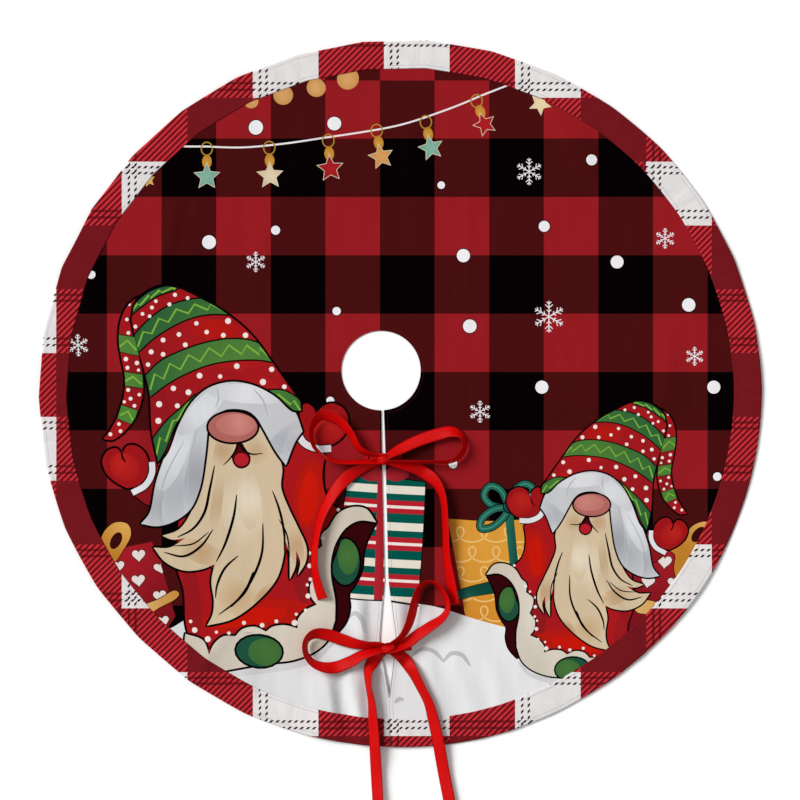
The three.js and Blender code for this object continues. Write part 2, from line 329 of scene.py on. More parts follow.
def ribbon_path(bow, side):
    """Points with leans along one ribbon: its sewn end, the lead into the knot, the loop on the far
    side and back, and the tail on its own side, each lifted clear of what lies under it."""
    knot = knots[bow]
    sewn = slit_edge(side, knot[1], lead_length) - knot[0]
    rise = lead_rise.get((bow, side), 0)
    lead = np.array([[sewn, rise, 0], [sewn * 0.72, rise * 0.8, 0], [sewn * 0.45, rise * 0.4, 8]])
    loop = np.array(bow_routes[bow]["loop_" + side_names[-side]], float)
    tail = np.array(bow_routes[bow]["tail_" + side_names[side]], float)
    flat = np.vstack([lead, loop, tail])
    x, y = knot[0] + flat[:, 0], knot[1] + flat[:, 1]
    half_height = ribbon_width / 2 * np.sin(np.radians(np.abs(flat[:, 2])))
    clear = np.repeat([lead_clear, loop_clear, tail_clear], [len(lead), len(loop), len(tail)])
    clear[-len(tail):] += knot_clear * (1 - step_up(np.hypot(tail[:, 0], tail[:, 1]), 40, 80))
    return np.column_stack([x, y, cloth_top(x, y) + clear + half_height, flat[:, 2]])


def set_ribbon_place(piece, place):
    """Stores how far along and across its ribbon each corner of the mesh is, in mm, for the satin."""
    corners = np.zeros(len(piece.data.loops), int)
    piece.data.loops.foreach_get("vertex_index", corners)
    layer = piece.data.uv_layers.new(name="ribbon")
    layer.data.foreach_set("uv", place[corners].astype(np.float32).ravel())


def make_ribbon(bow, side):
    """One ribbon: a thin rectangle, slightly domed across its width, carried along its path in steps
    of 1.6 mm. No point of it goes below what it rests on."""
    name, other = side_names[side], side_names[-side]
    line = smooth_line(ribbon_path(bow, side), 1.6)
    along, across, facing = ribbon_sides(line[:, :3], np.radians(line[:, 3]))
    w = np.linspace(-1, 1, 9) * ribbon_width / 2
    dome = 0.5 * (1 - (2 * w / ribbon_width) ** 2)
    profile = [(w, dome + ribbon_thickness / 2), (w[::-1], dome[::-1] - ribbon_thickness / 2)]
    w, lift = (np.concatenate(part) for part in zip(*profile))
    points = line[:, None, :3] + w[None, :, None] * across[:, None] + lift[None, :, None] * facing[:, None]
    under = cloth_top(points[..., 0], points[..., 1])
    points[..., 2] = np.maximum(points[..., 2], under + (lift + ribbon_thickness))
    piece = new_piece(
        f"{bow}_ribbon_{name}", points.reshape(-1, 3), tube_faces(len(line), len(w)), satin)
    travel = travelled(line[:, :3])
    set_ribbon_place(piece, np.stack(np.broadcast_arrays(travel[:, None], w), axis=-1).reshape(-1, 2))
    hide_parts(f"{bow}_lead_{name}", f"{bow}_loop_{other}", f"{bow}_tail_{name}")


for bow in bow_routes:
    for side in side_names:
        make_ribbon(bow, side)


# ---- Knots ----
# The same satin, wrapped once round the waist of each bow and pulled tight, so that it bulges at the
# sides and creases along the pull. It sits on the two sewn-on leads.
knot_pull = {"upper": 4, "lower": 14}  # degrees from the X axis


def make_knot(bow):
    """A barrel along the pull: its radius swells in the middle and dips at both mouths, with creases
    that spiral round it and a flat underside."""
    low, high = box_mm(bow + "_knot")
    length, thick = (high - low)[0] * 0.86, (high - low)[2]
    rings, sides = 41, 64
    t = np.linspace(-1, 1, rings)[:, None]
    turn = np.linspace(0, 2 * math.pi, sides, endpoint=False)[None, :]
    swell = np.sqrt(np.clip(1 - (t * 0.97) ** 2, 0, 1)) ** 0.55
    crease = 0.055 * np.cos(6 * turn + 2.4 * t) + 0.035 * np.cos(11 * turn - 3.1 * t + 0.8)
    wrap = 0.10 * np.exp(-((t - 0.1 * np.sin(turn)) / 0.38) ** 4)
    radius = thick / 2 * (0.86 * swell + (crease + wrap) * swell)
    across, up = radius * np.cos(turn) * 0.84, radius * np.sin(turn)
    along = np.broadcast_to(t * length / 2, across.shape)
    angle = math.radians(knot_pull[bow])
    x = knots[bow][0] + along * math.cos(angle) - across * math.sin(angle)
    y = knots[bow][1] + along * math.sin(angle) + across * math.cos(angle)
    z = lie(x, y) + face_top + 1.2 + np.maximum(thick * 0.55 + up, 0.1)
    points = np.stack([x, y, z], axis=-1).reshape(-1, 3)
    piece = new_piece(bow + "_bow_knot", points, tube_faces(rings, sides), satin)
    set_ribbon_place(piece, np.stack([across + along * 0.3, along], axis=-1).reshape(-1, 2))
    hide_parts(bow + "_knot")


for bow in bow_routes:
    make_knot(bow)


# ---- Sewing thread and bar tacks ----
# Spun polyester thread, dyed dark red to match. A close zigzag of it, 3 mm by 12 mm, holds the sewn
# end of each ribbon down through all the layers.

# Spun thread is matt, with a fine fuzz that breaks its colour up into darker and lighter red.
thread, tree = new_material("dark_red_spun_polyester_thread")
place = node(tree, "TexCoord").outputs["Object"]
fuzz = node(tree, "TexNoise", {"Vector": place, "Scale": 1800.0, "Detail": 2.0})
dyed = node(tree, "Mix", {0: fuzz, 6: linear("#5a0d12"), 7: linear("#86161d")}, data_type="RGBA")
bump = node(tree, "Bump", {"Strength": 0.3, "Distance": 0.0001, "Height": fuzz})
shader = node(tree, "BsdfPrincipled", {
    "Base Color": dyed.outputs[2], "Roughness": 0.7, "Specular IOR Level": 0.15, "Normal": bump,
})
node(tree, "OutputMaterial", {0: shader})


def thread_points(line, radius, sides):
    """A round thread: a circle carried along a line and drawn in at both ends."""
    along, across, facing = ribbon_sides(line, np.zeros(len(line)))
    turn = np.linspace(0, 2 * math.pi, sides, endpoint=False)[None, :, None]
    taper = np.ones((len(line), 1, 1))
    taper[[0, -1]] = 0.35
    ring = across[:, None] * np.cos(turn) + facing[:, None] * np.sin(turn)
    return (line[:, None] + radius * taper * ring).reshape(-1, 3)


thread_radius = 0.28
thread_sides = 6
tack_turns = 29
tack_inset = 0.3
tack_lift = 2.35  # mm above the cloth, just over the ribbon that it holds
for bow in bow_routes:
    for side, name in side_names.items():
        low, high = box_mm(f"{bow}_tack_{name}")
        x = np.where(np.arange(tack_turns) % 2, high[0] - tack_inset, low[0] + tack_inset)
        y = np.linspace(low[1] + tack_inset, high[1] - tack_inset, tack_turns)
        y = y + lead_rise.get((bow, side), 0)
        line = np.column_stack([x, y, cloth_top(x, y) + tack_lift])
        points = thread_points(line, thread_radius, thread_sides)
        faces = tube_faces(tack_turns, thread_sides)
        piece = new_piece(f"{bow}_bar_tack_{name}", points, faces, thread)
        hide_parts(f"{bow}_tack_{name}")


# ---- Lining ----
# Undyed polyester plain weave, bagged out with the face cloth. It lies on the floor, inside the
# facings and the part of the border band that is turned under.
def hem_curve(inset):
    """Centre and half axes of the hem's ellipse, drawn in by inset."""
    return np.array([0, 0, half_width - inset, half_depth - inset])


def hole_curve(outset):
    """Centre and half axes of the trunk hole, grown by outset."""
    return np.array([hole_x, hole_y, hole_radius + outset, hole_radius + outset])


def slit_rings(curves, around, inset=0):
    """Rows of points, one for each ellipse, from the slit's right edge counterclockwise to its left
    edge. The ends are where each ellipse meets the slit, found by putting x back into the ellipse."""
    cx, cy, rx, ry = np.array(curves).T
    ends = []
    for side in (1, -1):
        y = cy - ry
        for _ in range(6):
            y = cy - ry * np.sqrt(1 - ((slit_edge(side, y, inset) - cx) / rx) ** 2)
        ends.append(np.arctan2((y - cy) / ry, (slit_edge(side, y, inset) - cx) / rx))
    start, stop = ends[0], ends[1] + 2 * math.pi
    angle = start[:, None] + (stop - start)[:, None] * np.linspace(0, 1, around + 1)[None, :]
    return cx[:, None] + rx[:, None] * np.cos(angle), cy[:, None] + ry[:, None] * np.sin(angle)


def settle(x, y):
    """Where a point of the flat cut ends up. The hem lies in flats of about 85 mm, 1 to 2 mm deep,
    where the band pulls straight between its gathers."""
    away = np.clip(np.hypot(x / half_width, y / half_depth), 1e-6, None)
    around = np.arctan2(y, x)
    depth = 1.1 + 0.9 * np.cos(around - 2.4) + 0.4 * np.sin(5 * around)
    wander = -depth * np.abs(np.sin(17 * around - 0.22)) + 0.5 * np.sin(9 * around + 1.0) - 0.5
    push = wander * step_up(away, 0.72, 1.0) / half_width / away
    return x * (1 + push), y * (1 + push)


def laid(x, y, z, share=1.0):
    """Points of the flat cut, at height z in the stack of layers, laid on the floor."""
    x, y = settle(x, y)
    return np.stack([x, y, lie(x, y, share) + z], axis=-1).reshape(-1, 3)


def plain_weave(tree, place, depth):
    """A height field of crossed threads, and a slow unevenness. The threads are 0.3 mm apart on the
    real cloth and are drawn 1.5 mm apart so that they show."""
    threads = []
    for axis in (0, 1):
        run = node(tree, "Math", {0: place.outputs[axis], 1: 2 * math.pi / 0.0015}, operation="MULTIPLY")
        threads.append(node(tree, "Math", {0: run}, operation="SINE"))
    weave = node(tree, "Math", {0: threads[0], 1: threads[1]}, operation="MULTIPLY")
    uneven = node(tree, "TexNoise", {"Scale": 34.0, "Detail": 5.0, "Roughness": 0.6})
    height = node(tree, "Math", {0: uneven, 1: 6.0, 2: weave}, operation="MULTIPLY_ADD")
    return node(tree, "Bump", {"Strength": depth, "Distance": 0.0002, "Height": height}), uneven


def sheet_of(name, points, faces, material, thickness):
    """A laid sheet of cloth with its real thickness below the points given, and a crisp cut edge."""
    piece = new_piece(name, points, faces, material)
    mesh = piece.data
    edge_of_corner = np.zeros(len(mesh.loops), int)
    mesh.loops.foreach_get("edge_index", edge_of_corner)
    mesh.edges.foreach_set("use_edge_sharp", np.bincount(edge_of_corner, minlength=len(mesh.edges)) == 1)
    solid = piece.modifiers.new("cloth", "SOLIDIFY")
    solid.thickness = thickness * MM
    solid.offset = -1
    return piece


def upward(faces):
    """Faces that turn their other side up."""
    return [corners[::-1] for corners in faces]


# Undyed polyester is a warm, uneven off-white and fully matt, with a faint weave in the light.
calico, tree = new_material("undyed_polyester_plain_weave")
coords = node(tree, "TexCoord").outputs["Object"]
place = node(tree, "SeparateXYZ", {0: coords})
bump, uneven = plain_weave(tree, place, 0.25)
undyed = node(tree, "Mix", {0: uneven, 6: linear("#d9d3c6"), 7: linear("#ece7dc")}, data_type="RGBA")
shader = node(tree, "BsdfPrincipled", {
    "Base Color": undyed.outputs[2], "Roughness": 0.9, "Specular IOR Level": 0.12, "Normal": bump,
})
node(tree, "OutputMaterial", {0: shader})

seam_gap = 0.3
band_return = 12  # mm of the border band under the hem
lining_top = 0.55  # mm above the floor, for the facings too
lining_thickness = 0.45
lining_share = 0.7  # of the height of each fold
curves = np.linspace(hole_curve(facing_width + seam_gap), hem_curve(band_return + seam_gap), 57)
x, y = slit_rings(curves, 600, facing_width + seam_gap)
lining = sheet_of(
    "lining_cloth", laid(x, y, lining_top, lining_share), upward(grid_faces(*x.shape)), calico,
    lining_thickness)
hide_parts("lining")


# ---- Printed face cloth: what is printed on it ----
# Polyester plain weave, printed edge to edge: a red and black buffalo check under a winter scene.
# Each printed shape is a closed outline with an ink, and later inks cover earlier ones.
black = "#060203"
outline_width = 2.8
prints = []


def outline(*runs, step=3.0):
    """A closed outline made of smooth runs that meet at corners. Each run starts where the one before
    it ended, and the last one ends where the first began."""
    if len(runs) == 1:
        return smooth_line([[*p, 0] for p in runs[0]], step, closed=True)[:, :2]
    joined = [runs[0]] + [[before[-1], *run] for before, run in zip(runs, runs[1:])]
    return np.vstack([smooth_line([[*p, 0] for p in run], step)[:-1, :2] for run in joined])


def direction(degrees):
    """A vector of length 1, counterclockwise from the X axis."""
    return np.array([math.cos(math.radians(degrees)), math.sin(math.radians(degrees))])


def turned(across, up, x, y, turn):
    """Points across and up from a place, turned about it by so many degrees."""
    c, s = direction(turn)
    return np.column_stack([x + across * c - up * s, y + across * s + up * c])


def oval(x, y, rx, ry, turn=0, points=20):
    """An ellipse turned by so many degrees."""
    t = np.linspace(0, 2 * math.pi, points, endpoint=False)
    return turned(rx * np.cos(t), ry * np.sin(t), x, y, turn)


def stroke(points, width, step=3.0, tapered=True):
    """A brush line: both sides of a smooth line, as far apart as its width, thinner at the ends."""
    line = smooth_line([[*p, 0] for p in points], step)[:, :2]
    along = unit(np.gradient(line, axis=0))
    share = np.linspace(0, 1, len(line))
    half = width / 2 * (0.25 + 0.75 * np.sin(math.pi * share) ** 0.6 if tapered else np.ones(len(line)))
    side = np.column_stack([-along[:, 1], along[:, 0]]) * half[:, None]
    return np.vstack([line + side, (line - side)[::-1]])


def grown(shape, width):
    """A closed outline moved outwards along its normals."""
    x, y = shape.T
    left = np.sum(x * np.roll(y, -1) - y * np.roll(x, -1)) > 0
    along = unit(np.roll(shape, -1, axis=0) - np.roll(shape, 1, axis=0) + 1e-9)
    out = np.column_stack([along[:, 1], -along[:, 0]]) * (1 if left else -1)
    return shape + out * width


def ink(shape, colour, fade=None, start=None, end=None, line=0, within=()):
    """Prints a shape. A fade runs from colour at start to fade at end, or from a centre out to a
    radius when end is a number. line is the width of the black line round it."""
    if line:
        prints.append({"shape": grown(shape, line), "colour": black, "within": within})
    prints.append({
        "shape": shape, "colour": colour, "fade": fade, "start": start, "end": end, "within": within})


def snowflake(x, y, radius):
    """Six arms with three pairs of barbs each, in thin white lines."""
    width = 0.75 + radius * 0.03
    centre = np.array([x, y])
    for angle in range(90, 450, 60):
        way = direction(angle) * radius
        ink(stroke([centre, centre + way], width, radius, tapered=False), "#e9e6e8")
        for reach, barb in ((0.3, 0.2), (0.55, 0.32), (0.8, 0.2)):
            root = centre + way * reach
            for turn in (-48, 48):
                tip = root + direction(angle + turn) * radius * barb
                ink(stroke([root, tip], width * 0.85, radius, tapered=False), "#e9e6e8")


def star_shape(x, y, radius, turn):
    """Five points, with the inner corners at 0.47 of the radius."""
    t = np.arange(10) * math.pi / 5 + math.radians(90 + turn)
    r = np.where(np.arange(10) % 2, radius * 0.47, radius)
    return np.column_stack([x + r * np.cos(t), y + r * np.sin(t)])


# Snow in the air: round flakes and six-armed ones.
for x, y, radius in [
    (-182, 336, 9.2), (-83, 341, 8.8), (52, 263, 4.8), (242, 295, 7), (-241, 191, 8.8), (-157, 206, 5.8),
    (-390, 150, 5.3), (-80, 104, 5.3), (182, 211, 7), (80, 174, 8.4), (274, 166, 8.2), (365, 112, 8.6),
    (88, 85, 8.6), (179, 8, 8.3), (396, 8, 8.3), (-88, -9, 5), (67, -89, 5.6), (401, -105, 5.4),
]:
    ink(oval(x, y, radius, radius), "#eeecee", line=1.1)
for x, y, radius in [
    (163, 280, 17), (-182, 166, 13), (-407, 61, 14), (335, 196, 13), (188, 97, 20), (372, 47, 12),
    (101, -23, 14),
]:
    snowflake(x, y, radius)

# Baubles, and the garland with its stars, each on a gold cap and a wire ring.
for x, y, radius in [(-188, 369, 9), (-148, 378, 12.5), (-106, 387, 12), (-66, 399, 14)]:
    ink(oval(x, y, radius, radius, points=26), "#d9a568", fade="#c98f50", start=(x, y), end=radius * 1.3)
garland = [(-300, 314), (-250, 312), (-196, 311), (-150, 315), (-101, 322), (0, 339), (60, 359), (140, 392)]
ink(stroke(garland, 2.3, 6, tapered=False), "#ece6e6")
for x, y, radius, turn, colour, shade in [
    (-244, 274, 18, 0, "#86b5a1", "#6aa08e"), (-164, 275, 18, 2, "#dfd0b4", "#cfb48c"),
    (-88, 284, 18, 5, "#ad1f27", "#96171e"), (-24, 299, 17, 12, "#d99f5c", "#c68845"),
    (39, 310, 17, 14, "#86b5a1", "#6aa08e"), (107, 340, 16, 24, "#b31d22", "#96171e"),
    (177, 366, 15, 185, "#e9d3ac", "#dcbf92"), (-318, 270, 9, 10, "#dcb269", "#c89447"),
]:
    if turn < 90 and radius > 9:
        way = direction(90 + turn * 0.8) * radius
        cap, ring = (x, y) + way * 1.05, (x, y) + way * 1.95
        loop = oval(*ring, 7.2, 8.2, points=22)
        ink(stroke([*loop, loop[0]], 1.7, 3, tapered=False), "#a8822f")
        ink(oval(*cap, 6.2, 8.8, turn * 0.8), "#d39c45", fade="#b57c28", start=tuple(cap), end=9)
    ink(star_shape(x, y, radius, turn), "#d9cfae" if radius > 9 else colour)
    ink(star_shape(x, y, radius - 1.8, turn), colour, fade=shade, start=(x, y), end=radius)

# The striped present behind the slit, in a repeat of 46.6 mm, with a red ribbon down its middle.
striped = outline(
    [(-64, -101), (-20, -106), (32, -112)], [(28, -190), (22, -266)], [(-20, -262), (-80, -260)],
    [(-76, -180), (-64, -101)])
ink(striped, "#00544a", line=1.4)
for repeat in range(4):
    for drop, depth, colour in [
        (0, 10.4, "#e6dfd0"), (18.8, 6.3, "#b5202c"), (25.1, 3.7, "#f0e3dc"), (28.8, 6.3, "#b5202c")
    ]:
        top = -113.4 - repeat * 46.6 - drop
        if top < -266:
            break
        low = top - depth
        bar = outline(
            [(-90, top + 3), (-20, top - 2), (40, top - 5)], [(40, low - 5)],
            [(-20, low - 2), (-90, low + 3)], [(-90, top + 3)], step=12)
        ink(bar, colour, within=(striped,))
ink(outline(
    [(-28, -104), (-33, -262)], [(-22, -262)], [(-17, -104)], [(-28, -104)], step=20),
    "#b02531", fade="#8e1a24", start=(-32, 0), end=(-10, 0))
for turn in (-1, 1):
    bow_leaf = [(-20, -104), (-20 + turn * 9, -92), (-20 + turn * 27, -92), (-20 + turn * 31, -104),
                (-20 + turn * 14, -111)]
    ink(outline(bow_leaf), "#ab2630", fade="#8a1c25", start=(-20, -104), end=36)

# The yellow present: curly white lines, and a teal ribbon tied in a bow.
yellow = outline(
    [(60, -158), (110, -161), (158, -159)], [(172, -200), (158, -300)], [(120, -298), (84, -290)],
    [(72, -220), (60, -158)])
ink(yellow, "#dd9b3b", fade="#cf8528", start=(110, -190), end=130)
for row in range(5):
    t = np.linspace(-1, 8 * math.pi, 90)
    curls = np.column_stack([46 + row % 2 * 15 + 4.8 * t - 11 * np.sin(t), -178 - row * 25 + 9.5 * np.cos(t)])
    ink(stroke(curls, 1.9, 2, tapered=False), "#ebc078", within=(yellow,))
teal, deep_teal = "#216554", "#0f4539"
ink(outline(
    [(132, -150), (139, -222)], [(150, -222)], [(143, -150)], [(132, -150)], step=14),
    teal, fade=deep_teal, start=(134, 0), end=(152, 0))
ink(outline([(71, -249), (72, -259), (90, -256), (130, -250)], [(130, -237), (100, -241), (71, -249)]),
    teal, fade=deep_teal, start=(76, -262), end=(84, -240), line=0.8)
for loop in (
    [(138, -142), (144, -123), (158, -114), (168, -121), (158, -133), (140, -141)],
    [(137, -142), (126, -121), (113, -117), (106, -129), (116, -141), (137, -144)],
    [(137, -144), (119, -146), (103, -159), (102, -170), (115, -169), (130, -157), (137, -146)],
):
    for width, colour in ((10.5, black), (8, teal), (2.2, "#3f8a78")):
        ink(stroke(loop, width, 2, tapered=width < 3), colour)
ink(oval(137, -143, 6, 7), teal, fade=deep_teal, start=(137, -141), end=9, line=1.4)


def heart(x, y, size, turn=0):
    """A heart: x is the cube of the sine of the way round, and y a sum of four cosines."""
    t = np.linspace(0, 2 * math.pi, 22, endpoint=False)
    across = np.sin(t) ** 3
    up = (13 * np.cos(t) - 5 * np.cos(2 * t) - 2 * np.cos(3 * t) - np.cos(4 * t)) / 16
    return turned(size * across, size * up, x, y, turn)


# A red bag with hearts and an orange ribbon on each side, half hidden by the border band.
for bag, hearts, ring, strip in (
    (
        [[(-376, -196), (-353, -195), (-313, -187)], [(-301, -221), (-284, -282)],
         [(-330, -340), (-376, -196)]],
        [(-330, -204, 8.5, 4), (-331, -236, 8.5, 6), (-303, -220, 8, 16), (-356, -218, 8, 5),
         (-304, -256, 8.5, 8), (-300, -288, 8, 12)],
        [(-378, -192), (-374, -175), (-360, -163), (-344, -165), (-340, -178), (-350, -198), (-362, -213)],
        [(-330, -272), (-305, -260), (-284, -249), (-279, -253), (-283, -259), (-303, -270), (-322, -280)],
    ),
    (
        [[(296, -186), (330, -184), (358, -190)], [(352, -240), (300, -316)],
         [(256, -316), (270, -230), (296, -186)]],
        [(334, -212, 9, -4), (313, -237, 8.5, -10), (346, -238, 8, 8), (322, -268, 7, 0)],
        [(337, -196), (358, -182), (370, -167), (388, -162), (402, -172), (394, -190), (373, -196),
         (368, -216), (353, -240), (346, -222), (347, -203)],
        [(298, -263), (312, -261), (325, -265), (324, -272), (314, -278), (298, -275)],
    ),
):
    bag_shape = outline(*bag, step=5)
    ink(bag_shape, "#a51c27", fade="#7d131b", start=bag[0][1], end=110)
    for x, y, size, turn in hearts:
        ink(grown(heart(x, y, size, turn), 0.9), "#2a0608", within=(bag_shape,))
        ink(heart(x, y, size, turn), "#e4dbd4", within=(bag_shape,))
    ink(outline(strip), "#dcae6a", fade="#c98f44", start=strip[0], end=50, line=1.0)
    ink(outline(ring), "#dba552", fade="#bd7d2c", start=ring[3], end=46, line=1.0)
for x, y, turn in ((-359, -186, -28), (377, -178, -42)):
    ink(oval(x, y, 6, 11, turn), "#3a0a0c", line=0.6)

# Snow on the ground, with grey strips of painted shade beside the slit where the cloth folds, strokes for
# its drifts, and a thin line of painted shade along each turned edge of the slit.
snow = outline(
    [(-372, -286), (-300, -300), (-268, -284)], [(-190, -300), (-120, -268), (-74, -257)],
    [(-22, -262), (40, -268), (96, -285), (152, -300)], [(215, -322), (290, -334), (350, -340)],
    [(330, -470), (-330, -470), (-372, -286)], step=6)
snow_white = "#e8e8e8"
ink(snow, snow_white, fade="#d9d9db", start=(70, -330), end=330)
# Painted shade: each grey strip is darkest along its middle line and fades out into the snow, standing in for
# the shade of a fold.
for top, bottom, half, shade in (
    ((-86, -340), (-75, -414), 10, "#c9c9cc"), ((-52, -331), (-41, -414), 10, "#cbcbce"),
    ((-42, -250), (-42, -316), 8, "#cdcdd0"), ((5, -250), (12, -320), 10, "#c2c2c6"),
):
    for side in (-1, 1):
        away = (side * half, 0)
        strip = [top, bottom, np.add(bottom, away), np.add(top, away)]
        middle = np.add(top, bottom) / 2
        ink(outline(strip[:2], *[[corner] for corner in strip[2:] + strip[:1]], step=6), shade,
            fade=snow_white if top[0] > -60 else "#e1e1e2", start=middle, end=middle + away, within=(snow,))
for drift, width in (
    ([(-66, -284), (-57, -277), (-48, -285), (-44, -303)], 6.5),
    ([(13, -333), (27, -323), (42, -325), (56, -339)], 5.5),
    ([(54, -339), (65, -328), (78, -330), (89, -344)], 5.5),
    ([(-7, -391), (-1, -386), (5, -387)], 6),
    ([(-150, -344), (-110, -334), (-84, -316)], 5),
):
    ink(stroke(drift, width, 3), "#bfbfc2")
# Painted shade: a thin grey line along each cut edge of the slit, where the edge's side would be in shade.
for side in side_names:
    y = np.linspace(-258, -384, 9)
    painted_edge_shade_line = np.column_stack([slit_edge(side, y, 0.5), y])
    ink(stroke(painted_edge_shade_line, 0.9, 6, tapered=False), "#8b8b90", within=(snow,))
ink(stroke([(-66, -258.5), (-44, -260.5), (-22, -261.5)], 1.8, 8, tapered=False), "#0a2420")
ink(stroke([(-12, -262), (4, -264.5), (24, -268)], 2.6, 8, tapered=False), "#0a2420")

# A winter gnome in a tall dotted hat, drawn in its own millimetres from the middle of its nose.
coat_red, cream = "#a8171c", "#d2bd9d"


def zigzag(low_line, high_line, teeth):
    """A thin zigzag line between two lines."""
    t = (np.arange(teeth * 2 + 1) + 0.25) / (teeth * 2 + 0.5)
    share = np.linspace(0, 1, len(low_line))
    low = np.column_stack([np.interp(t, share, column) for column in np.array(low_line, float).T])
    high = np.column_stack([np.interp(t, share, column) for column in np.array(high_line, float).T])
    lift = np.where(np.arange(len(t)) % 2, 0.74, 0.28)[:, None]
    points = low + (high - low) * lift
    along = unit(np.gradient(points, axis=0))
    side = np.column_stack([-along[:, 1], along[:, 0]]) * 1.3
    return np.vstack([points + side, (points - side)[::-1]])


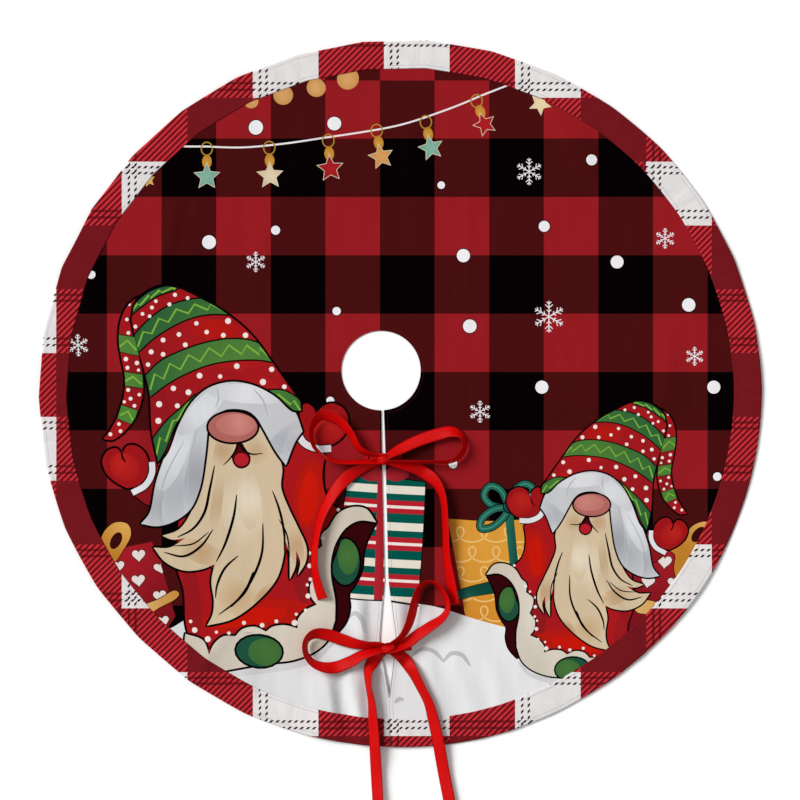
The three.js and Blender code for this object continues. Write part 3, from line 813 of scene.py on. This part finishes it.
def gnome():
    """Coat, boots, arms, beard, hair, nose and hat, from back to front."""
    ink(outline(
        [(181, -119), (150, -112), (118, -150)], [(114, -240), (128, -263)],
        [(142, -246), (147, -228), (146, -210), (154, -198), (162, -180), (165, -155), (172, -136),
         (181, -119)]),
        "#330409", line=outline_width)
    boot = oval(142, -170, 18, 29)
    ink(boot, "#1e4f3c", line=outline_width)
    ink(oval(145.5, -163, 13, 23), "#477339", fade="#3c6a35", start=(146, -163), end=22, within=(boot,))
    coat = outline(
        [(78, -14), (98, -25), (116, -36)], [(113, -62), (119, -90), (135, -106)],
        [(134, -140), (118, -190), (112, -240), (60, -270), (0, -290), (-50, -286)],
        [(-60, -250), (-62, -208), (-72, -170), (-66, -100)], [(0, -40), (78, -14)])
    ink(coat, coat_red, line=outline_width)
    for x, y, rx, ry, turn, colour in [
        (98, -85, 21, 44, -6, "#b41811"), (96, -88, 12, 34, -6, "#c8180a"),
        (28, -238, 68, 20, 8, "#b41811"), (22, -240, 48, 11, 8, "#c6170a"),
        (-52, -215, 11, 52, 6, "#96181d"), (88, -185, 13, 38, 4, "#8f191f"),
    ]:
        ink(oval(x, y, rx, ry, turn), colour, within=(coat,))
    trim = outline(
        [(181, -120), (168, -103), (150, -101), (133, -109), (121, -127)], [(112, -136), (113, -150)],
        [(101, -160), (102, -175), (107, -186)], [(98, -198), (99, -214), (106, -224)],
        [(92, -231), (82, -243), (82, -254)], [(66, -250), (50, -252), (42, -258)],
        [(28, -252), (12, -255), (3, -264)], [(-12, -264), (-24, -274), (-30, -287)],
        [(-38, -270), (-61, -262)], [(-62, -272)], [(-40, -300), (-10, -308)],
        [(43, -298), (76, -294), (104, -283), (120, -268), (129, -244)],
        [(129, -218), (124, -190), (124, -168), (130, -146), (143, -127), (160, -118), (181, -120)])
    ink(stroke([(-20, -316), (43, -306), (78, -301), (108, -290), (126, -270)], 9, 4), "#cfcfd0")
    ink(trim, "#ddd5c7", fade="#cdc2b2", start=(60, -190), end=150, line=outline_width)
    boot = oval(33, -283, 29, 19.5, -4)
    ink(boot, "#1e4f3c", line=outline_width)
    ink(oval(41, -284, 22, 17.5, -4), "#477339", fade="#3c6a35", start=(41, -282), end=24, within=(boot,))
    for x, y, radius in [
        (133, -104, 2.2), (114, -140, 3), (106, -149, 2), (97, -159, 2.2), (97, -175, 3), (98, -192, 2.4),
        (94, -199, 2), (95, -213, 3.3), (92, -231, 2.2), (80, -236, 2), (78, -247, 3.8), (55, -245, 2.5),
        (37, -250, 3), (14, -247, 2.6), (-5, -260, 2.3), (-21, -259, 2), (-32, -268, 3.8), (-49, -257, 3.6),
        (-54, -246, 2.3),
    ]:
        ink(oval(x, y, radius, radius, points=12), "#ece2da")

    ink(outline([(-127, -84), (-112, -68), (-98, -44), (-92, -60)], [(-104, -98), (-127, -84)]),
        "#8a161d", line=1.4)
    mitten = outline(
        [(-140, -36), (-146, -27), (-157, -29), (-165, -42), (-161, -57), (-149, -69), (-134, -77)],
        [(-120, -74), (-109, -62), (-106, -47), (-111, -32), (-123, -23), (-134, -24), (-140, -36)])
    ink(mitten, "#9c1519", line=outline_width)
    ink(oval(-137, -50, 20, 17, -30), "#b9231d", fade="#a91a1a", start=(-141, -47), end=20, within=(mitten,))
    ink(stroke([(-141, -31), (-139, -39), (-135, -45)], 2.6, 2), black)
    for width, colour in ((10.5, black), (7.6, "#dfe0e4")):
        ink(stroke([(-102, -44), (-102, -58), (-110, -73), (-127, -83)], width, 3, tapered=False), colour)
    mitten = outline(
        [(86, 6), (85, 22), (92, 30), (102, 24), (105, 13)],
        [(112, 25), (126, 30), (141, 22), (146, 4), (138, -13), (122, -23), (104, -24), (90, -14), (86, 6)])
    ink(mitten, "#9c1519", line=outline_width)
    ink(oval(122, 3, 20, 20, 20), "#b9231d", fade="#a91a1a", start=(118, 6), end=22, within=(mitten,))
    ink(stroke([(105, 13), (103, 5), (97, -2)], 2.2, 2), black)
    for width, colour in ((11.5, black), (8.6, "#dfe0e4")):
        ink(stroke([(82, -8), (90, -20), (106, -27), (124, -27)], width, 3, tapered=False), colour)

    beard = outline(
        [(31, 7), (-2, 0), (-32, -12)], [(-37, -50), (-42, -78), (-52, -106), (-68, -129), (-89, -137)],
        [(-76, -142), (-60, -140)], [(-80, -152), (-100, -152)],
        [(-86, -170), (-62, -181), (-38, -179), (-23, -173)],
        [(-27, -195), (-24, -220), (-26, -237), (-33, -251)],
        [(0, -242), (32, -219), (56, -190), (65, -155), (64, -135)], [(71, -160), (72, -192)],
        [(79, -176), (80, -156)], [(85, -170), (82, -187)],
        [(92, -170), (93, -152), (82, -126), (70, -101), (61, -76), (62, -49), (48, -20), (31, 7)])
    ink(beard, cream, line=outline_width)
    for x, y, rx, ry, turn, colour in [
        (-12, -30, 12, 24, -12, "#c09c78"), (30, -30, 15, 22, 18, "#c4a680"),
        (-40, -158, 34, 14, -22, "#c2a078"), (6, -215, 22, 34, 50, "#c6a67e"),
        (40, -215, 10, 26, -38, "#bd9a70"), (80, -150, 9, 30, 8, "#c0a07a"),
        (12, -105, 26, 52, 4, "#dccdb2"), (20, -90, 15, 40, 4, "#e2d5bd"), (-20, -95, 7, 44, -8, "#c2a986"),
    ]:
        ink(oval(x, y, rx, ry, turn, 26), colour, fade=cream, start=(x, y), end=max(rx, ry), within=(beard,))
    for strand, width in [
        ([(-23, -48), (-29, -78), (-36, -108), (-50, -128), (-70, -139)], 2.2),
        ([(5, -85), (1, -113), (-10, -148), (-21, -170)], 2.2),
        ([(-25, -129), (-40, -150), (-62, -163), (-87, -158)], 2.0),
        ([(38, -121), (37, -157), (28, -184), (8, -216), (-18, -237)], 2.2),
        ([(7, -162), (-10, -178), (-20, -200), (-22, -216)], 2.0),
        ([(26, -182), (17, -205), (-2, -227)], 2.4),
        ([(50, -80), (59, -105), (65, -135), (65, -157)], 2.0),
        ([(58, -116), (68, -135), (72, -165)], 1.3),
        ([(-30, -132), (-50, -147), (-75, -150)], 1.3),
    ]:
        ink(stroke(strand, width * 1.6, 4), black)

    ink(outline([(8, -18), (4, -28), (0, -38), (4, -48), (11, -51), (19, -47), (21, -38), (15, -28)]),
        "#4a0a10", line=1.4)
    ink(oval(11, -41, 9.2, 8.5, points=18), "#b3202a", line=0.6)
    ink(stroke([(-12, -48), (-3, -39), (4, -28), (7, -19), (13, -28), (24, -34), (38, -33)], 2.6, 2), black)

    hair = outline(
        [(-116, -122), (-105, -108), (-97, -70), (-84, -31), (-70, 5), (-54, 33), (-32, 52), (-2, 60),
         (28, 55), (56, 40), (78, 20), (88, -5)], [(79, -18), (67, -48)],
        [(54, -30), (39, -3), (29, 13), (17, 21), (-9, 22), (-24, 12), (-32, -6)],
        [(-35, -37), (-42, -78), (-54, -104), (-74, -119), (-96, -125), (-116, -122)])
    ink(hair, "#c6c7ca", line=outline_width)
    for x, y, rx, ry, turn, colour in [
        (-84, -98, 30, 34, -24, "#a3a5aa"), (-64, -84, 22, 46, -20, "#afb1b6"),
        (-48, -62, 12, 52, -10, "#a2a4aa"), (-72, -28, 16, 56, -20, "#dadbde"),
        (-38, 22, 13, 44, -44, "#dedfe2"), (62, -18, 12, 36, -46, "#b0b3b9"),
        (20, 42, 52, 12, -4, "#e0e0e3"), (74, -22, 9, 22, -20, "#b4b6bc"),
    ]:
        ink(oval(x, y, rx, ry, turn, 26), colour, fade="#c6c7ca", start=(x, y), end=max(rx, ry) * 1.15,
            within=(hair,))
    for strand in ([(-96, -104), (-84, -60), (-62, -18)], [(-56, -100), (-56, -50), (-44, 0)],
                   [(-20, 50), (-18, 36), (-22, 24)], [(26, 48), (38, 34), (44, 14)]):
        ink(stroke(strand, 2.0, 4), "#b0b2b8", within=(hair,))
    nose = oval(0, 0, 31, 19, 0, 36)
    ink(nose, "#b0665f", line=outline_width)
    ink(oval(4, 3, 25, 14, 0, 30), "#cc837a", fade="#bf736b", start=(8, 6), end=26, within=(nose,))

    tail = outline(
        [(-119, 165), (-134, 152), (-142, 134), (-144, 112), (-141, 88), (-136, 62), (-137, 42), (-144, 18),
         (-154, -2), (-164, -15)], [(-152, -16), (-138, -7)],
        [(-123, 12), (-114, 40), (-114, 64), (-119, 92), (-124, 114), (-128, 134)],
        [(-122, 150), (-119, 165)])
    hat = outline(
        [(-94, -44), (-102, -6), (-105, 42), (-114, 80), (-122, 108), (-128, 136)],
        [(-122, 158), (-97, 176), (-72, 176), (-46, 165), (-9, 144), (23, 117), (48, 84), (67, 57),
         (85, 32)], [(86, 21)],
        [(76, 22), (56, 40), (28, 55), (-2, 60), (-32, 52), (-54, 33), (-70, 5), (-84, -31), (-94, -44)])
    green, light_green, hat_red = "#4f8038", "#7cb03c", "#a0181d"
    for part in (tail, hat):
        ink(part, hat_red, line=outline_width)
    for x, y, rx, ry, turn, colour, part in [
        (0, 92, 66, 20, -18, "#ae1b1d", hat), (-20, 122, 50, 13, -12, "#b41811", hat),
        (-96, 60, 14, 90, 8, "#8f181e", hat), (-124, 60, 8, 60, -4, "#8d181e", tail),
        (40, 52, 34, 11, -38, "#ae1a1c", hat), (-62, 30, 16, 34, 34, "#96191f", hat),
    ]:
        ink(oval(x, y, rx, ry, turn, 24), colour, fade=hat_red, start=(x, y), end=max(rx, ry), within=(part,))
    for low, high, teeth in [
        ([(-134, 138), (-116, 152), (-97, 165), (-72, 174)], [(-128, 152), (-106, 170), (-87, 177),
         (-66, 178)], 4),
        ([(-121, 93), (-103, 110), (-81, 125), (-53, 138), (-27, 143), (-2, 142)], [(-126, 114),
         (-106, 135), (-84, 151), (-62, 159), (-37, 162), (-24, 158)], 5),
        ([(-105, 38), (-84, 54), (-59, 68), (-27, 80), (7, 85), (36, 85), (52, 82)], [(-110, 65), (-91, 83),
         (-62, 97), (-31, 107), (-2, 111), (23, 109), (38, 103)], 7),
        ([(-97, -48), (-86, -30), (-72, 4), (-54, 32)], [(-103, -18), (-84, 7), (-64, 25), (-46, 42)], 3),
        ([(58, 37), (76, 22), (88, 12)], [(40, 46), (64, 46), (90, 31)], 2),
    ]:
        band = outline(high, low[-1:], low[-2::-1], high[:1], step=5)
        ink(grown(band, 1.9), black, within=(hat,))
        ink(band, green, fade="#2c5f36", start=(10, 70), end=150, within=(hat,))
        ink(zigzag(low, high, teeth), light_green, within=(hat,))
    for band in (
        [(-146, 96), (-118, 90), (-120, 113), (-147, 117)],
        [(-140, 53), (-112, 49), (-112, 66), (-140, 70)], [(-146, 11), (-126, 3), (-120, 21), (-141, 28)],
    ):
        ink(grown(np.array(band, float), 1.2), black, within=(tail,))
        ink(np.array(band, float), green, within=(tail,))
        ink(zigzag(band[:2], band[:1:-1], 1), light_green, within=(tail,))
    for x, y, radius in [
        (-131, 155, 2), (-134, 136, 2.3), (-123, 127, 2.5), (-132, 119, 2.4), (-73, 167, 2.6),
        (-57, 163, 2.5), (-80, 155, 2.6), (-97, 159, 2.3), (-102, 151, 2.5), (-114, 143, 2.4),
        (-105, 140, 2.3), (-6, 134, 3.8), (-46, 131, 2.8), (-33, 120, 2.9), (-12, 116, 3.1), (16, 116, 3.5),
        (-68, 117, 3), (-88, 110, 3.1), (-60, 104, 3.1), (-103, 95, 3.2), (-88, 92, 3), (-107, 79, 2.8),
        (5, 77, 3.6), (49, 73, 3.4), (-42, 65, 3.7), (-16, 64, 2.8), (38, 57, 4), (-75, 49, 3.4),
        (-56, 44, 3.7), (65, 51, 3), (-93, 29, 3.9), (-70, 27, 3.2), (-94, 8, 3.9), (-135, 86, 2.9),
        (-121, 81, 2.8), (-133, 75, 2.6), (-132, 47, 2.5), (-118, 41, 2.3), (-129, 36, 2.5), (-137, 32, 2),
        (-124, 27, 2.4), (-144, 4, 2.4), (-142, -5, 2.4), (-155, -9, 2.5), (-119, 72, 2),
    ]:
        ink(oval(x, y, radius, radius, points=12), "#efe4dd", within=(hat, tail))


def moved(first, x, y, scale, flip):
    """Puts the shapes printed since first at their place, size and hand."""
    place = np.array([x, y], float)
    hand = np.array([scale * flip, scale])
    for shape in prints[first:]:
        shape["shape"] = shape["shape"] * hand + place
        shape["within"] = [clip * hand + place for clip in shape["within"]]
        if shape.get("start") is not None:
            shape["start"] = np.array(shape["start"]) * hand + place
            far = shape["end"]
            shape["end"] = np.array(far) * hand + place if hasattr(far, "__len__") else far * scale


for x, y, scale, flip in ((242, -140.5, 0.735, -1), (-211, -42.5, 1, 1)):
    first = len(prints)
    gnome()
    moved(first, x, y, scale, flip)


# ---- Printed face cloth: the cloth itself ----
# One round cut with the trunk hole and the slit, seamed to the lining at every edge. The ink is
# carried at each corner of a triangle, so that every printed edge is an edge of the mesh.
def inside(shape, points):
    """Which points are within a closed outline, by counting its edges to the right of each point."""
    x, y = points.T
    found = np.zeros(len(points), bool)
    low, high = shape.min(axis=0), shape.max(axis=0)
    near = np.flatnonzero(np.all((points >= low) & (points <= high), axis=1))
    for start in range(0, len(near), 20000):
        some = near[start:start + 20000]
        ax, ay = shape.T
        bx, by = np.roll(shape, -1, axis=0).T
        px, py = x[some, None], y[some, None]
        spans = (ay > py) != (by > py)
        crossing = ax + (bx - ax) * (py - ay) / np.where(by == ay, 1, by - ay)
        found[some] = np.sum(spans & (px < crossing), axis=1) % 2 == 1
    return found


def colour_at(shape, points):
    """Linear colours of a shape's ink at some points, faded along a line or out from a centre."""
    first = np.array(linear(shape["colour"]))
    if shape.get("fade") is None:
        return np.broadcast_to(first, (len(points), 4))
    start, end = np.array(shape["start"], float), shape["end"]
    if hasattr(end, "__len__"):
        way = np.array(end, float) - start
        share = (points - start) @ way / (way @ way)
    else:
        share = np.linalg.norm(points - start, axis=1) / end
    share = step_up(share, 0, 1)[:, None]
    return first * (1 - share) + np.array(linear(shape["fade"])) * share


slit_overhang = -0.2  # mm that the soft cut edges spread into the closed slit
x, y = slit_rings([hole_curve(0.4), hem_curve(1.1)], 700, slit_overhang)
edges = [np.column_stack([x[row], y[row]]) for row in (0, 1)]
run = np.linspace(0, 1, 90)[1:-1, None]
slit_left = edges[1][-1] + (edges[0][-1] - edges[1][-1]) * run
slit_left[:, 0] = slit_edge(-1, slit_left[:, 1], slit_overhang)
slit_right = edges[0][0] + (edges[1][0] - edges[0][0]) * run
slit_right[:, 0] = slit_edge(1, slit_right[:, 1], slit_overhang)
cut = np.vstack([edges[1], slit_left, edges[0][::-4], slit_right])

spacing = 7
rows = np.arange(-half_depth, half_depth, spacing * 0.866)  # rows of equal-sided triangles
grid_x, grid_y = np.meshgrid(np.arange(-half_width, half_width, spacing), rows)
grid_x = grid_x + (np.arange(len(rows)) % 2 * spacing / 2)[:, None]
grid = np.column_stack([grid_x.ravel(), grid_y.ravel()])
fine = grid[np.hypot((grid[:, 0] + 20) / 150, (grid[:, 1] + 340) / 110) < 1]  # the folds by the slit
grid = np.vstack([grid, fine + [spacing / 2, 0], fine + [spacing / 4, spacing * 0.433]])
grid = grid[inside(cut, grid)]

every = [cut] + [shape["shape"] for shape in prints]
sizes = np.array([len(shape) for shape in every])
offsets = np.concatenate([[0], np.cumsum(sizes)])
points = np.vstack(every + [grid])
lines = [
    (int(first + k), int(first + (k + 1) % size))
    for first, size in zip(offsets[:-1], sizes) for k in range(size)
]
spots, _, triangles, _, _, _ = delaunay_2d_cdt([tuple(p) for p in points.tolist()], lines, [], 0, 1e-4)
spots, triangles = np.array([tuple(spot) for spot in spots]), np.array(triangles)
triangles = triangles[inside(cut, spots[triangles].mean(axis=1))]
middles = spots[triangles].mean(axis=1)

corner_ink = np.zeros((len(triangles), 3, 4))
for shape in prints:
    covered = inside(shape["shape"], middles)
    if len(shape["within"]):
        covered &= np.any([inside(clip, middles) for clip in shape["within"]], axis=0)
    where = np.flatnonzero(covered)
    if len(where):
        spots_of = spots[triangles[where]].reshape(-1, 2)
        corner_ink[where] = colour_at(shape, spots_of).reshape(-1, 3, 4)


def counted(tree, coordinate, sign, start, pitch):
    """How many pitches a coordinate is past a start, both in mm."""
    scaled = node(tree, "Math", {0: coordinate, 1: sign / (pitch * MM)}, operation="MULTIPLY")
    return node(tree, "Math", {0: scaled, 1: -sign * start / pitch}, operation="ADD")


def every_other(tree, count):
    """1 in even steps of count and 0 in odd ones."""
    half = node(tree, "Math", {0: count, 1: 0.5}, operation="MULTIPLY")
    part = node(tree, "Math", {0: half}, operation="FRACT")
    return node(tree, "Math", {0: part, 1: 0.5}, operation="LESS_THAN")


# The ink sinks into the polyester, so the print is as matt as the cloth, with the weave in it and a
# tone that brushing leaves a little uneven. The check lies under the ink that the mesh carries.
check_width, check_height = 68.9, 73.67  # mm between the check's changes, across and along
check_left, check_top = -25.25, 27.1  # mm, where it is counted from
seam_row = 395
printed, tree = new_material("printed_polyester_plain_weave")
coords = node(tree, "TexCoord").outputs["Object"]
place = node(tree, "SeparateXYZ", {0: coords})
columns = counted(tree, place.outputs[0], 1, check_left, check_width)
rows = counted(tree, place.outputs[1], -1, check_top, check_height)
swapped = node(tree, "Math", {0: place.outputs[1], 1: seam_row * MM}, operation="GREATER_THAN")
columns = node(tree, "Math", {0: columns, 1: swapped}, operation="ADD")
dark_column, dark_row = every_other(tree, columns), every_other(tree, rows)
dark_row = node(tree, "Math", {0: dark_row, 1: swapped}, operation="SUBTRACT", use_clamp=True)
in_light = node(tree, "Mix", {0: dark_column, 6: linear("#951b21"), 7: linear("#490e10")}, data_type="RGBA")
in_dark = node(tree, "Mix", {0: dark_column, 6: linear("#470e0f"), 7: linear("#040001")}, data_type="RGBA")
check = node(tree, "Mix", {0: dark_row, 6: in_light.outputs[2], 7: in_dark.outputs[2]}, data_type="RGBA")
carried = node(tree, "VertexColor", layer_name="ink")
drawn = node(tree, "Mix", {0: carried.outputs[1], 6: check.outputs[2], 7: carried.outputs[0]},
             data_type="RGBA")
bump, uneven = plain_weave(tree, place, 0.22)
brushed_place = node(tree, "Mapping", {0: coords, "Scale": (60, 14, 1), "Rotation": (0, 0, 0.5)})
brushed = node(tree, "TexNoise", {0: brushed_place, "Scale": 1.0, "Detail": 4.0})
tone = node(tree, "Math", {0: uneven, 1: 0.10, 2: brushed}, operation="MULTIPLY_ADD")
tone = node(tree, "MapRange", {0: tone, 1: 0.25, 2: 0.85, 3: 0.87, 4: 0.99})
colour = node(tree, "VectorMath", {0: drawn.outputs[2], 1: tone}, operation="MULTIPLY")
shader = node(tree, "BsdfPrincipled", {
    "Base Color": colour, "Roughness": 0.9, "Specular IOR Level": 0.02, "Normal": bump,
})
node(tree, "OutputMaterial", {0: shader})


def carry_ink(piece, colours):
    """Stores the ink's linear colour at each corner of the mesh, with 1 where there is ink."""
    layer = piece.data.color_attributes.new(name="ink", type="FLOAT_COLOR", domain="CORNER")
    layer.data.foreach_set("color", colours.astype(np.float32).ravel())


face_thickness = 0.6
face = sheet_of(
    "printed_face_cloth", laid(*spots.T, face_top), triangles.tolist(), printed,
    face_thickness)
carry_ink(face, corner_ink)
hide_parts("printed_face")


# ---- Facings of the trunk hole and the slit ----
# Strips 20 mm wide of the printed cloth, cut from the plain check. They are turned to the wrong side
# so that the cut edges are hidden, and lie flat beside the lining.
facing_gap = 0.2  # mm between a facing and what it is sewn to


def facing_of(name, x, y, turn_over):
    """A facing: the printed cloth with no ink of the scene on it, so that only the check shows."""
    faces = upward(grid_faces(*x.shape)) if turn_over else grid_faces(*x.shape)
    points = laid(x, y, lining_top, lining_share)
    piece = sheet_of(name, points, faces, printed, lining_thickness)
    carry_ink(piece, np.zeros(len(piece.data.loops) * 4))
    return piece


x, y = slit_rings(np.linspace(hole_curve(facing_gap), hole_curve(facing_width - facing_gap), 9), 120, 0)
neck_facing = facing_of("neck_facing_cloth", x, y, True)
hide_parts("neck_facing")
for side, name in side_names.items():
    inset = np.linspace(0, facing_width - facing_gap, 9)[None, :]
    low, high = box_mm("slit_facing_" + name)
    run = np.linspace(0, 1, 90)[:, None]
    top, bottom = np.full((1, 9), high[1]), np.full((1, 9), low[1])
    cx, cy, rx, ry = hem_curve(band_return + 2 * facing_gap)
    for _ in range(6):
        away = slit_edge(side, top, inset) - hole_x
        top = hole_y - np.sqrt((hole_radius + facing_width + facing_gap) ** 2 - away ** 2)
        bottom = cy - ry * np.sqrt(1 - ((slit_edge(side, bottom, inset) - cx) / rx) ** 2)
    y = top + (bottom - top) * run
    facing_of("slit_facing_cloth_" + name, slit_edge(side, y, inset), y, side > 0)
    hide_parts("slit_facing_" + name)


# ---- Plaid border band ----
# A woven-look printed strip, cut 49 mm wide and folded over the hem: 35 mm on top and 12 mm below,
# with its inner edge turned under and stitched through everything.

# Rows of inset from the hem and height in mm, from the turned-under edge on top to the cut edge below.
profile = np.array([
    [33.6, 1.75], [34.7, 1.78], [35.1, 1.98], [34.6, 2.28], [33.2, 2.33], [31.4, 2.12], [29, 2.22], [24, 2.3],
    [18, 2.3], [12, 2.28], [7, 2.25], [4.4, 2.1], [2.6, 2.18], [1.2, 2.05], [0.45, 1.65], [0.25, 1.2],
    [0.45, 0.75], [1.2, 0.38], [3, 0.32], [7, 0.32], [11.6, 0.32],
])
x, y = slit_rings([hem_curve(inset) for inset in profile[:, 0]], 720, -0.1)
band_thickness = 0.45


def puckers(x, y):
    """Height of the small puckers that the seams gather along the band."""
    turn = np.arctan2(y, x)
    return 0.16 * np.sin(94 * turn + 1.2 * np.sin(13 * turn)) + 0.12 * np.sin(157 * turn)


z = profile[:, 1:] + puckers(x, y) * ((profile[:, 1:] > 2) & (profile[:, :1] > 3))


def near_lines(tree, count, stations, half, pitch):
    """1 where a count of pitches is near any station, in mm past its last even step."""
    halved = node(tree, "Math", {0: count, 1: 0.5}, operation="MULTIPLY")
    part = node(tree, "Math", {0: halved}, operation="FRACT")
    found = None
    for station in stations:
        one = node(tree, "Math", {0: part, 1: station / pitch / 2, 2: half / pitch / 2}, operation="COMPARE")
        found = one if found is None else node(tree, "Math", {0: found, 1: one}, operation="MAXIMUM")
    return found


# Printed twill is matt, with the same weave in the light. Its plaid is white where a light column
# and a light row cross, hatched red where there is one of them, and plain dark red elsewhere. Pairs
# of thin lines run through it, dashed by the hatching where the ground is white.
plaid_width, plaid_height = 82.7, 80.5  # mm between the plaid's changes, across and along
plaid_left, plaid_top = -20.2, 453.5  # mm, where it is counted from
line_half = 1.6
hatch_pitch = 7.8
gingham, tree = new_material("printed_border_plaid_twill")
coords = node(tree, "TexCoord").outputs["Object"]
place = node(tree, "SeparateXYZ", {0: coords})
column_count = counted(tree, place.outputs[0], 1, plaid_left, plaid_width)
row_count = counted(tree, place.outputs[1], -1, plaid_top, plaid_height)
white_column, white_row = every_other(tree, column_count), every_other(tree, row_count)
line_columns = near_lines(tree, column_count, (9, 17.3), line_half, plaid_width)
line_rows = near_lines(
    tree, row_count, (7, 14.5, plaid_height - 18.3, plaid_height - 10), line_half, plaid_height)
pair_line = node(tree, "Math", {0: line_columns, 1: line_rows}, operation="MAXIMUM")
slant = node(tree, "Math", {0: place.outputs[0], 1: place.outputs[1]}, operation="SUBTRACT")
slant = node(tree, "Math", {0: slant, 1: hatch_pitch * MM}, operation="DIVIDE")
slant = node(tree, "Math", {0: slant}, operation="FRACT")
hatch = node(tree, "Math", {0: slant, 1: 0.45}, operation="LESS_THAN")
dash = node(tree, "Math", {0: pair_line, 1: hatch}, operation="MULTIPLY")
on_white = node(tree, "Mix", {0: dash, 6: linear("#dedada"), 7: linear("#2a0508")}, data_type="RGBA")
on_hatch = node(tree, "Mix", {0: hatch, 6: linear("#bf2c36"), 7: linear("#5f0a10")}, data_type="RGBA")
shaded = node(tree, "Math", {0: pair_line, 1: 0.7}, operation="MULTIPLY")
on_hatch = node(tree, "Mix", {0: shaded, 6: on_hatch.outputs[2], 7: linear("#4c080c")}, data_type="RGBA")
both_white = node(tree, "Math", {0: white_column, 1: white_row}, operation="MULTIPLY")
either_white = node(tree, "Math", {0: white_column, 1: white_row}, operation="MAXIMUM")
colour = node(tree, "Mix", {0: either_white, 6: linear("#6f141b"), 7: on_hatch.outputs[2]}, data_type="RGBA")
colour = node(tree, "Mix", {0: both_white, 6: colour.outputs[2], 7: on_white.outputs[2]}, data_type="RGBA")
bump, uneven = plain_weave(tree, place, 0.25)
tone = node(tree, "MapRange", {0: uneven, 1: 0.3, 2: 0.7, 3: 0.93, 4: 1.05})
colour = node(tree, "VectorMath", {0: colour.outputs[2], 1: tone}, operation="MULTIPLY")
shader = node(tree, "BsdfPrincipled", {
    "Base Color": colour, "Roughness": 0.88, "Specular IOR Level": 0.05, "Normal": bump,
})
node(tree, "OutputMaterial", {0: shader})

settled_x, settled_y = settle(x, y)
points = np.stack([settled_x, settled_y, lie(x, y) + z], axis=-1).reshape(-1, 3)
band = new_piece("plaid_border", points, grid_faces(len(profile), 721), gingham)
solid = band.modifiers.new("cloth", "SOLIDIFY")
solid.thickness = band_thickness * MM
solid.offset = 0
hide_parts("plaid_border_band")


# ---- Topstitching ----
# Lockstitches of 2.6 mm in the same dark red thread, 4 mm in from each edge and along the band's
# turned-under edge. Each stitch is a spindle pulled slightly down into the cloth at both ends.
stitch_length = 2.6
stitch_lift = 0.03  # mm from the cloth to the middle of a stitch


def stitch_row(name, x, y, z, replaced):
    """Spindles of four sides along a line, each between two needle holes."""
    x, y = settle(x, y)
    line = np.column_stack([x, y, lie(x, y) + z + stitch_lift])
    travel = travelled(line)
    count = int(travel[-1] / stitch_length)
    stations = np.linspace(0, travel[-1], count + 1)
    holes = np.stack([np.interp(stations, travel, column) for column in line.T], axis=1)
    start, end = holes[:-1] * 0.92 + holes[1:] * 0.08, holes[:-1] * 0.08 + holes[1:] * 0.92
    along = unit(end - start)
    level = unit(np.cross(along, [0, 0, 1]))
    up = np.cross(level, along)
    share = np.array([0, 0.5, 1])[None, :, None, None]
    radius = np.array([0.06, 0.17, 0.06])[None, :, None, None]
    turn = np.linspace(0, 2 * math.pi, 4, endpoint=False)[None, None, :, None]
    middle = start[:, None, None] * (1 - share) + end[:, None, None] * share
    ring = level[:, None, None] * np.cos(turn) + up[:, None, None] * np.sin(turn)
    points = (middle + ring * radius).reshape(-1, 3)
    one = np.array(tube_faces(3, 4))
    faces = (np.arange(count)[:, None, None] * 12 + one[None]).reshape(-1, 4).tolist()
    piece = new_piece(name, points, faces, thread)
    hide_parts(replaced)
    return piece


def ring_line(curve, inset):
    """A line round an ellipse from one edge of the slit to the other."""
    x, y = slit_rings([curve, curve], 900, inset)
    return x[0], y[0]


for name, inset, replaced in (
    ("band_seam_topstitch", 31, "band_seam_stitching"), ("hem_topstitch", 5, "hem_stitching"),
):
    x, y = ring_line(hem_curve(inset), 2)
    band_height = np.interp(inset, profile[11::-1, 0], profile[11::-1, 1])
    stitch_row(name, x, y, band_height + puckers(x, y) + band_thickness / 2, replaced)
face_stitches = [stitch_row("neck_topstitch", *ring_line(hole_curve(4), 4), face_top, "neck_stitching")]
for side, name in side_names.items():
    low, high = box_mm("slit_stitching_" + name)
    y = np.linspace(high[1], low[1], 260)
    face_stitches.append(stitch_row(
        "slit_topstitch_" + name, slit_edge(side, y, 4), y, face_top, "slit_stitching_" + name))


# ---- Floor and light ----
# A pale studio floor, lit evenly from all round, with one large soft light high up at the left.
floor_mesh = bpy.data.meshes.new("floor")
corners = np.array([[-12, -12, 0], [12, -12, 0], [12, 12, 0], [-12, 12, 0]])
floor_mesh.from_pydata(corners, [], [(0, 1, 2, 3)])
floor = bpy.data.objects.new("floor", floor_mesh)
bpy.context.scene.collection.objects.link(floor)
pale, tree = new_material("pale_matte_floor")
shader = node(tree, "BsdfPrincipled", {
    "Base Color": linear("#fdfdfd"), "Roughness": 0.9, "Specular IOR Level": 0.0,
})
node(tree, "OutputMaterial", {0: shader})
floor_mesh.materials.append(pale)

world = bpy.data.worlds.new("studio")
world.use_nodes = True
world.node_tree.nodes.clear()
air = node(world.node_tree, "Background", {"Color": (1, 1, 1, 1), "Strength": 0.43})
node(world.node_tree, "OutputWorld", {0: air})
bpy.context.scene.world = world

soft_light_data = bpy.data.lights.new("soft_light", "SUN")
soft_light_data.angle = math.radians(28)
soft_light_data.energy = 2.95
soft_light = bpy.data.objects.new("soft_light", soft_light_data)
towards = unit(np.array([-0.85, 0.5, 0.85]))
soft_light.rotation_euler = (math.acos(towards[2]), 0, math.atan2(towards[1], towards[0]) + math.pi / 2)
bpy.context.scene.collection.objects.link(soft_light)
bpy.context.scene.view_settings.view_transform = "Standard"
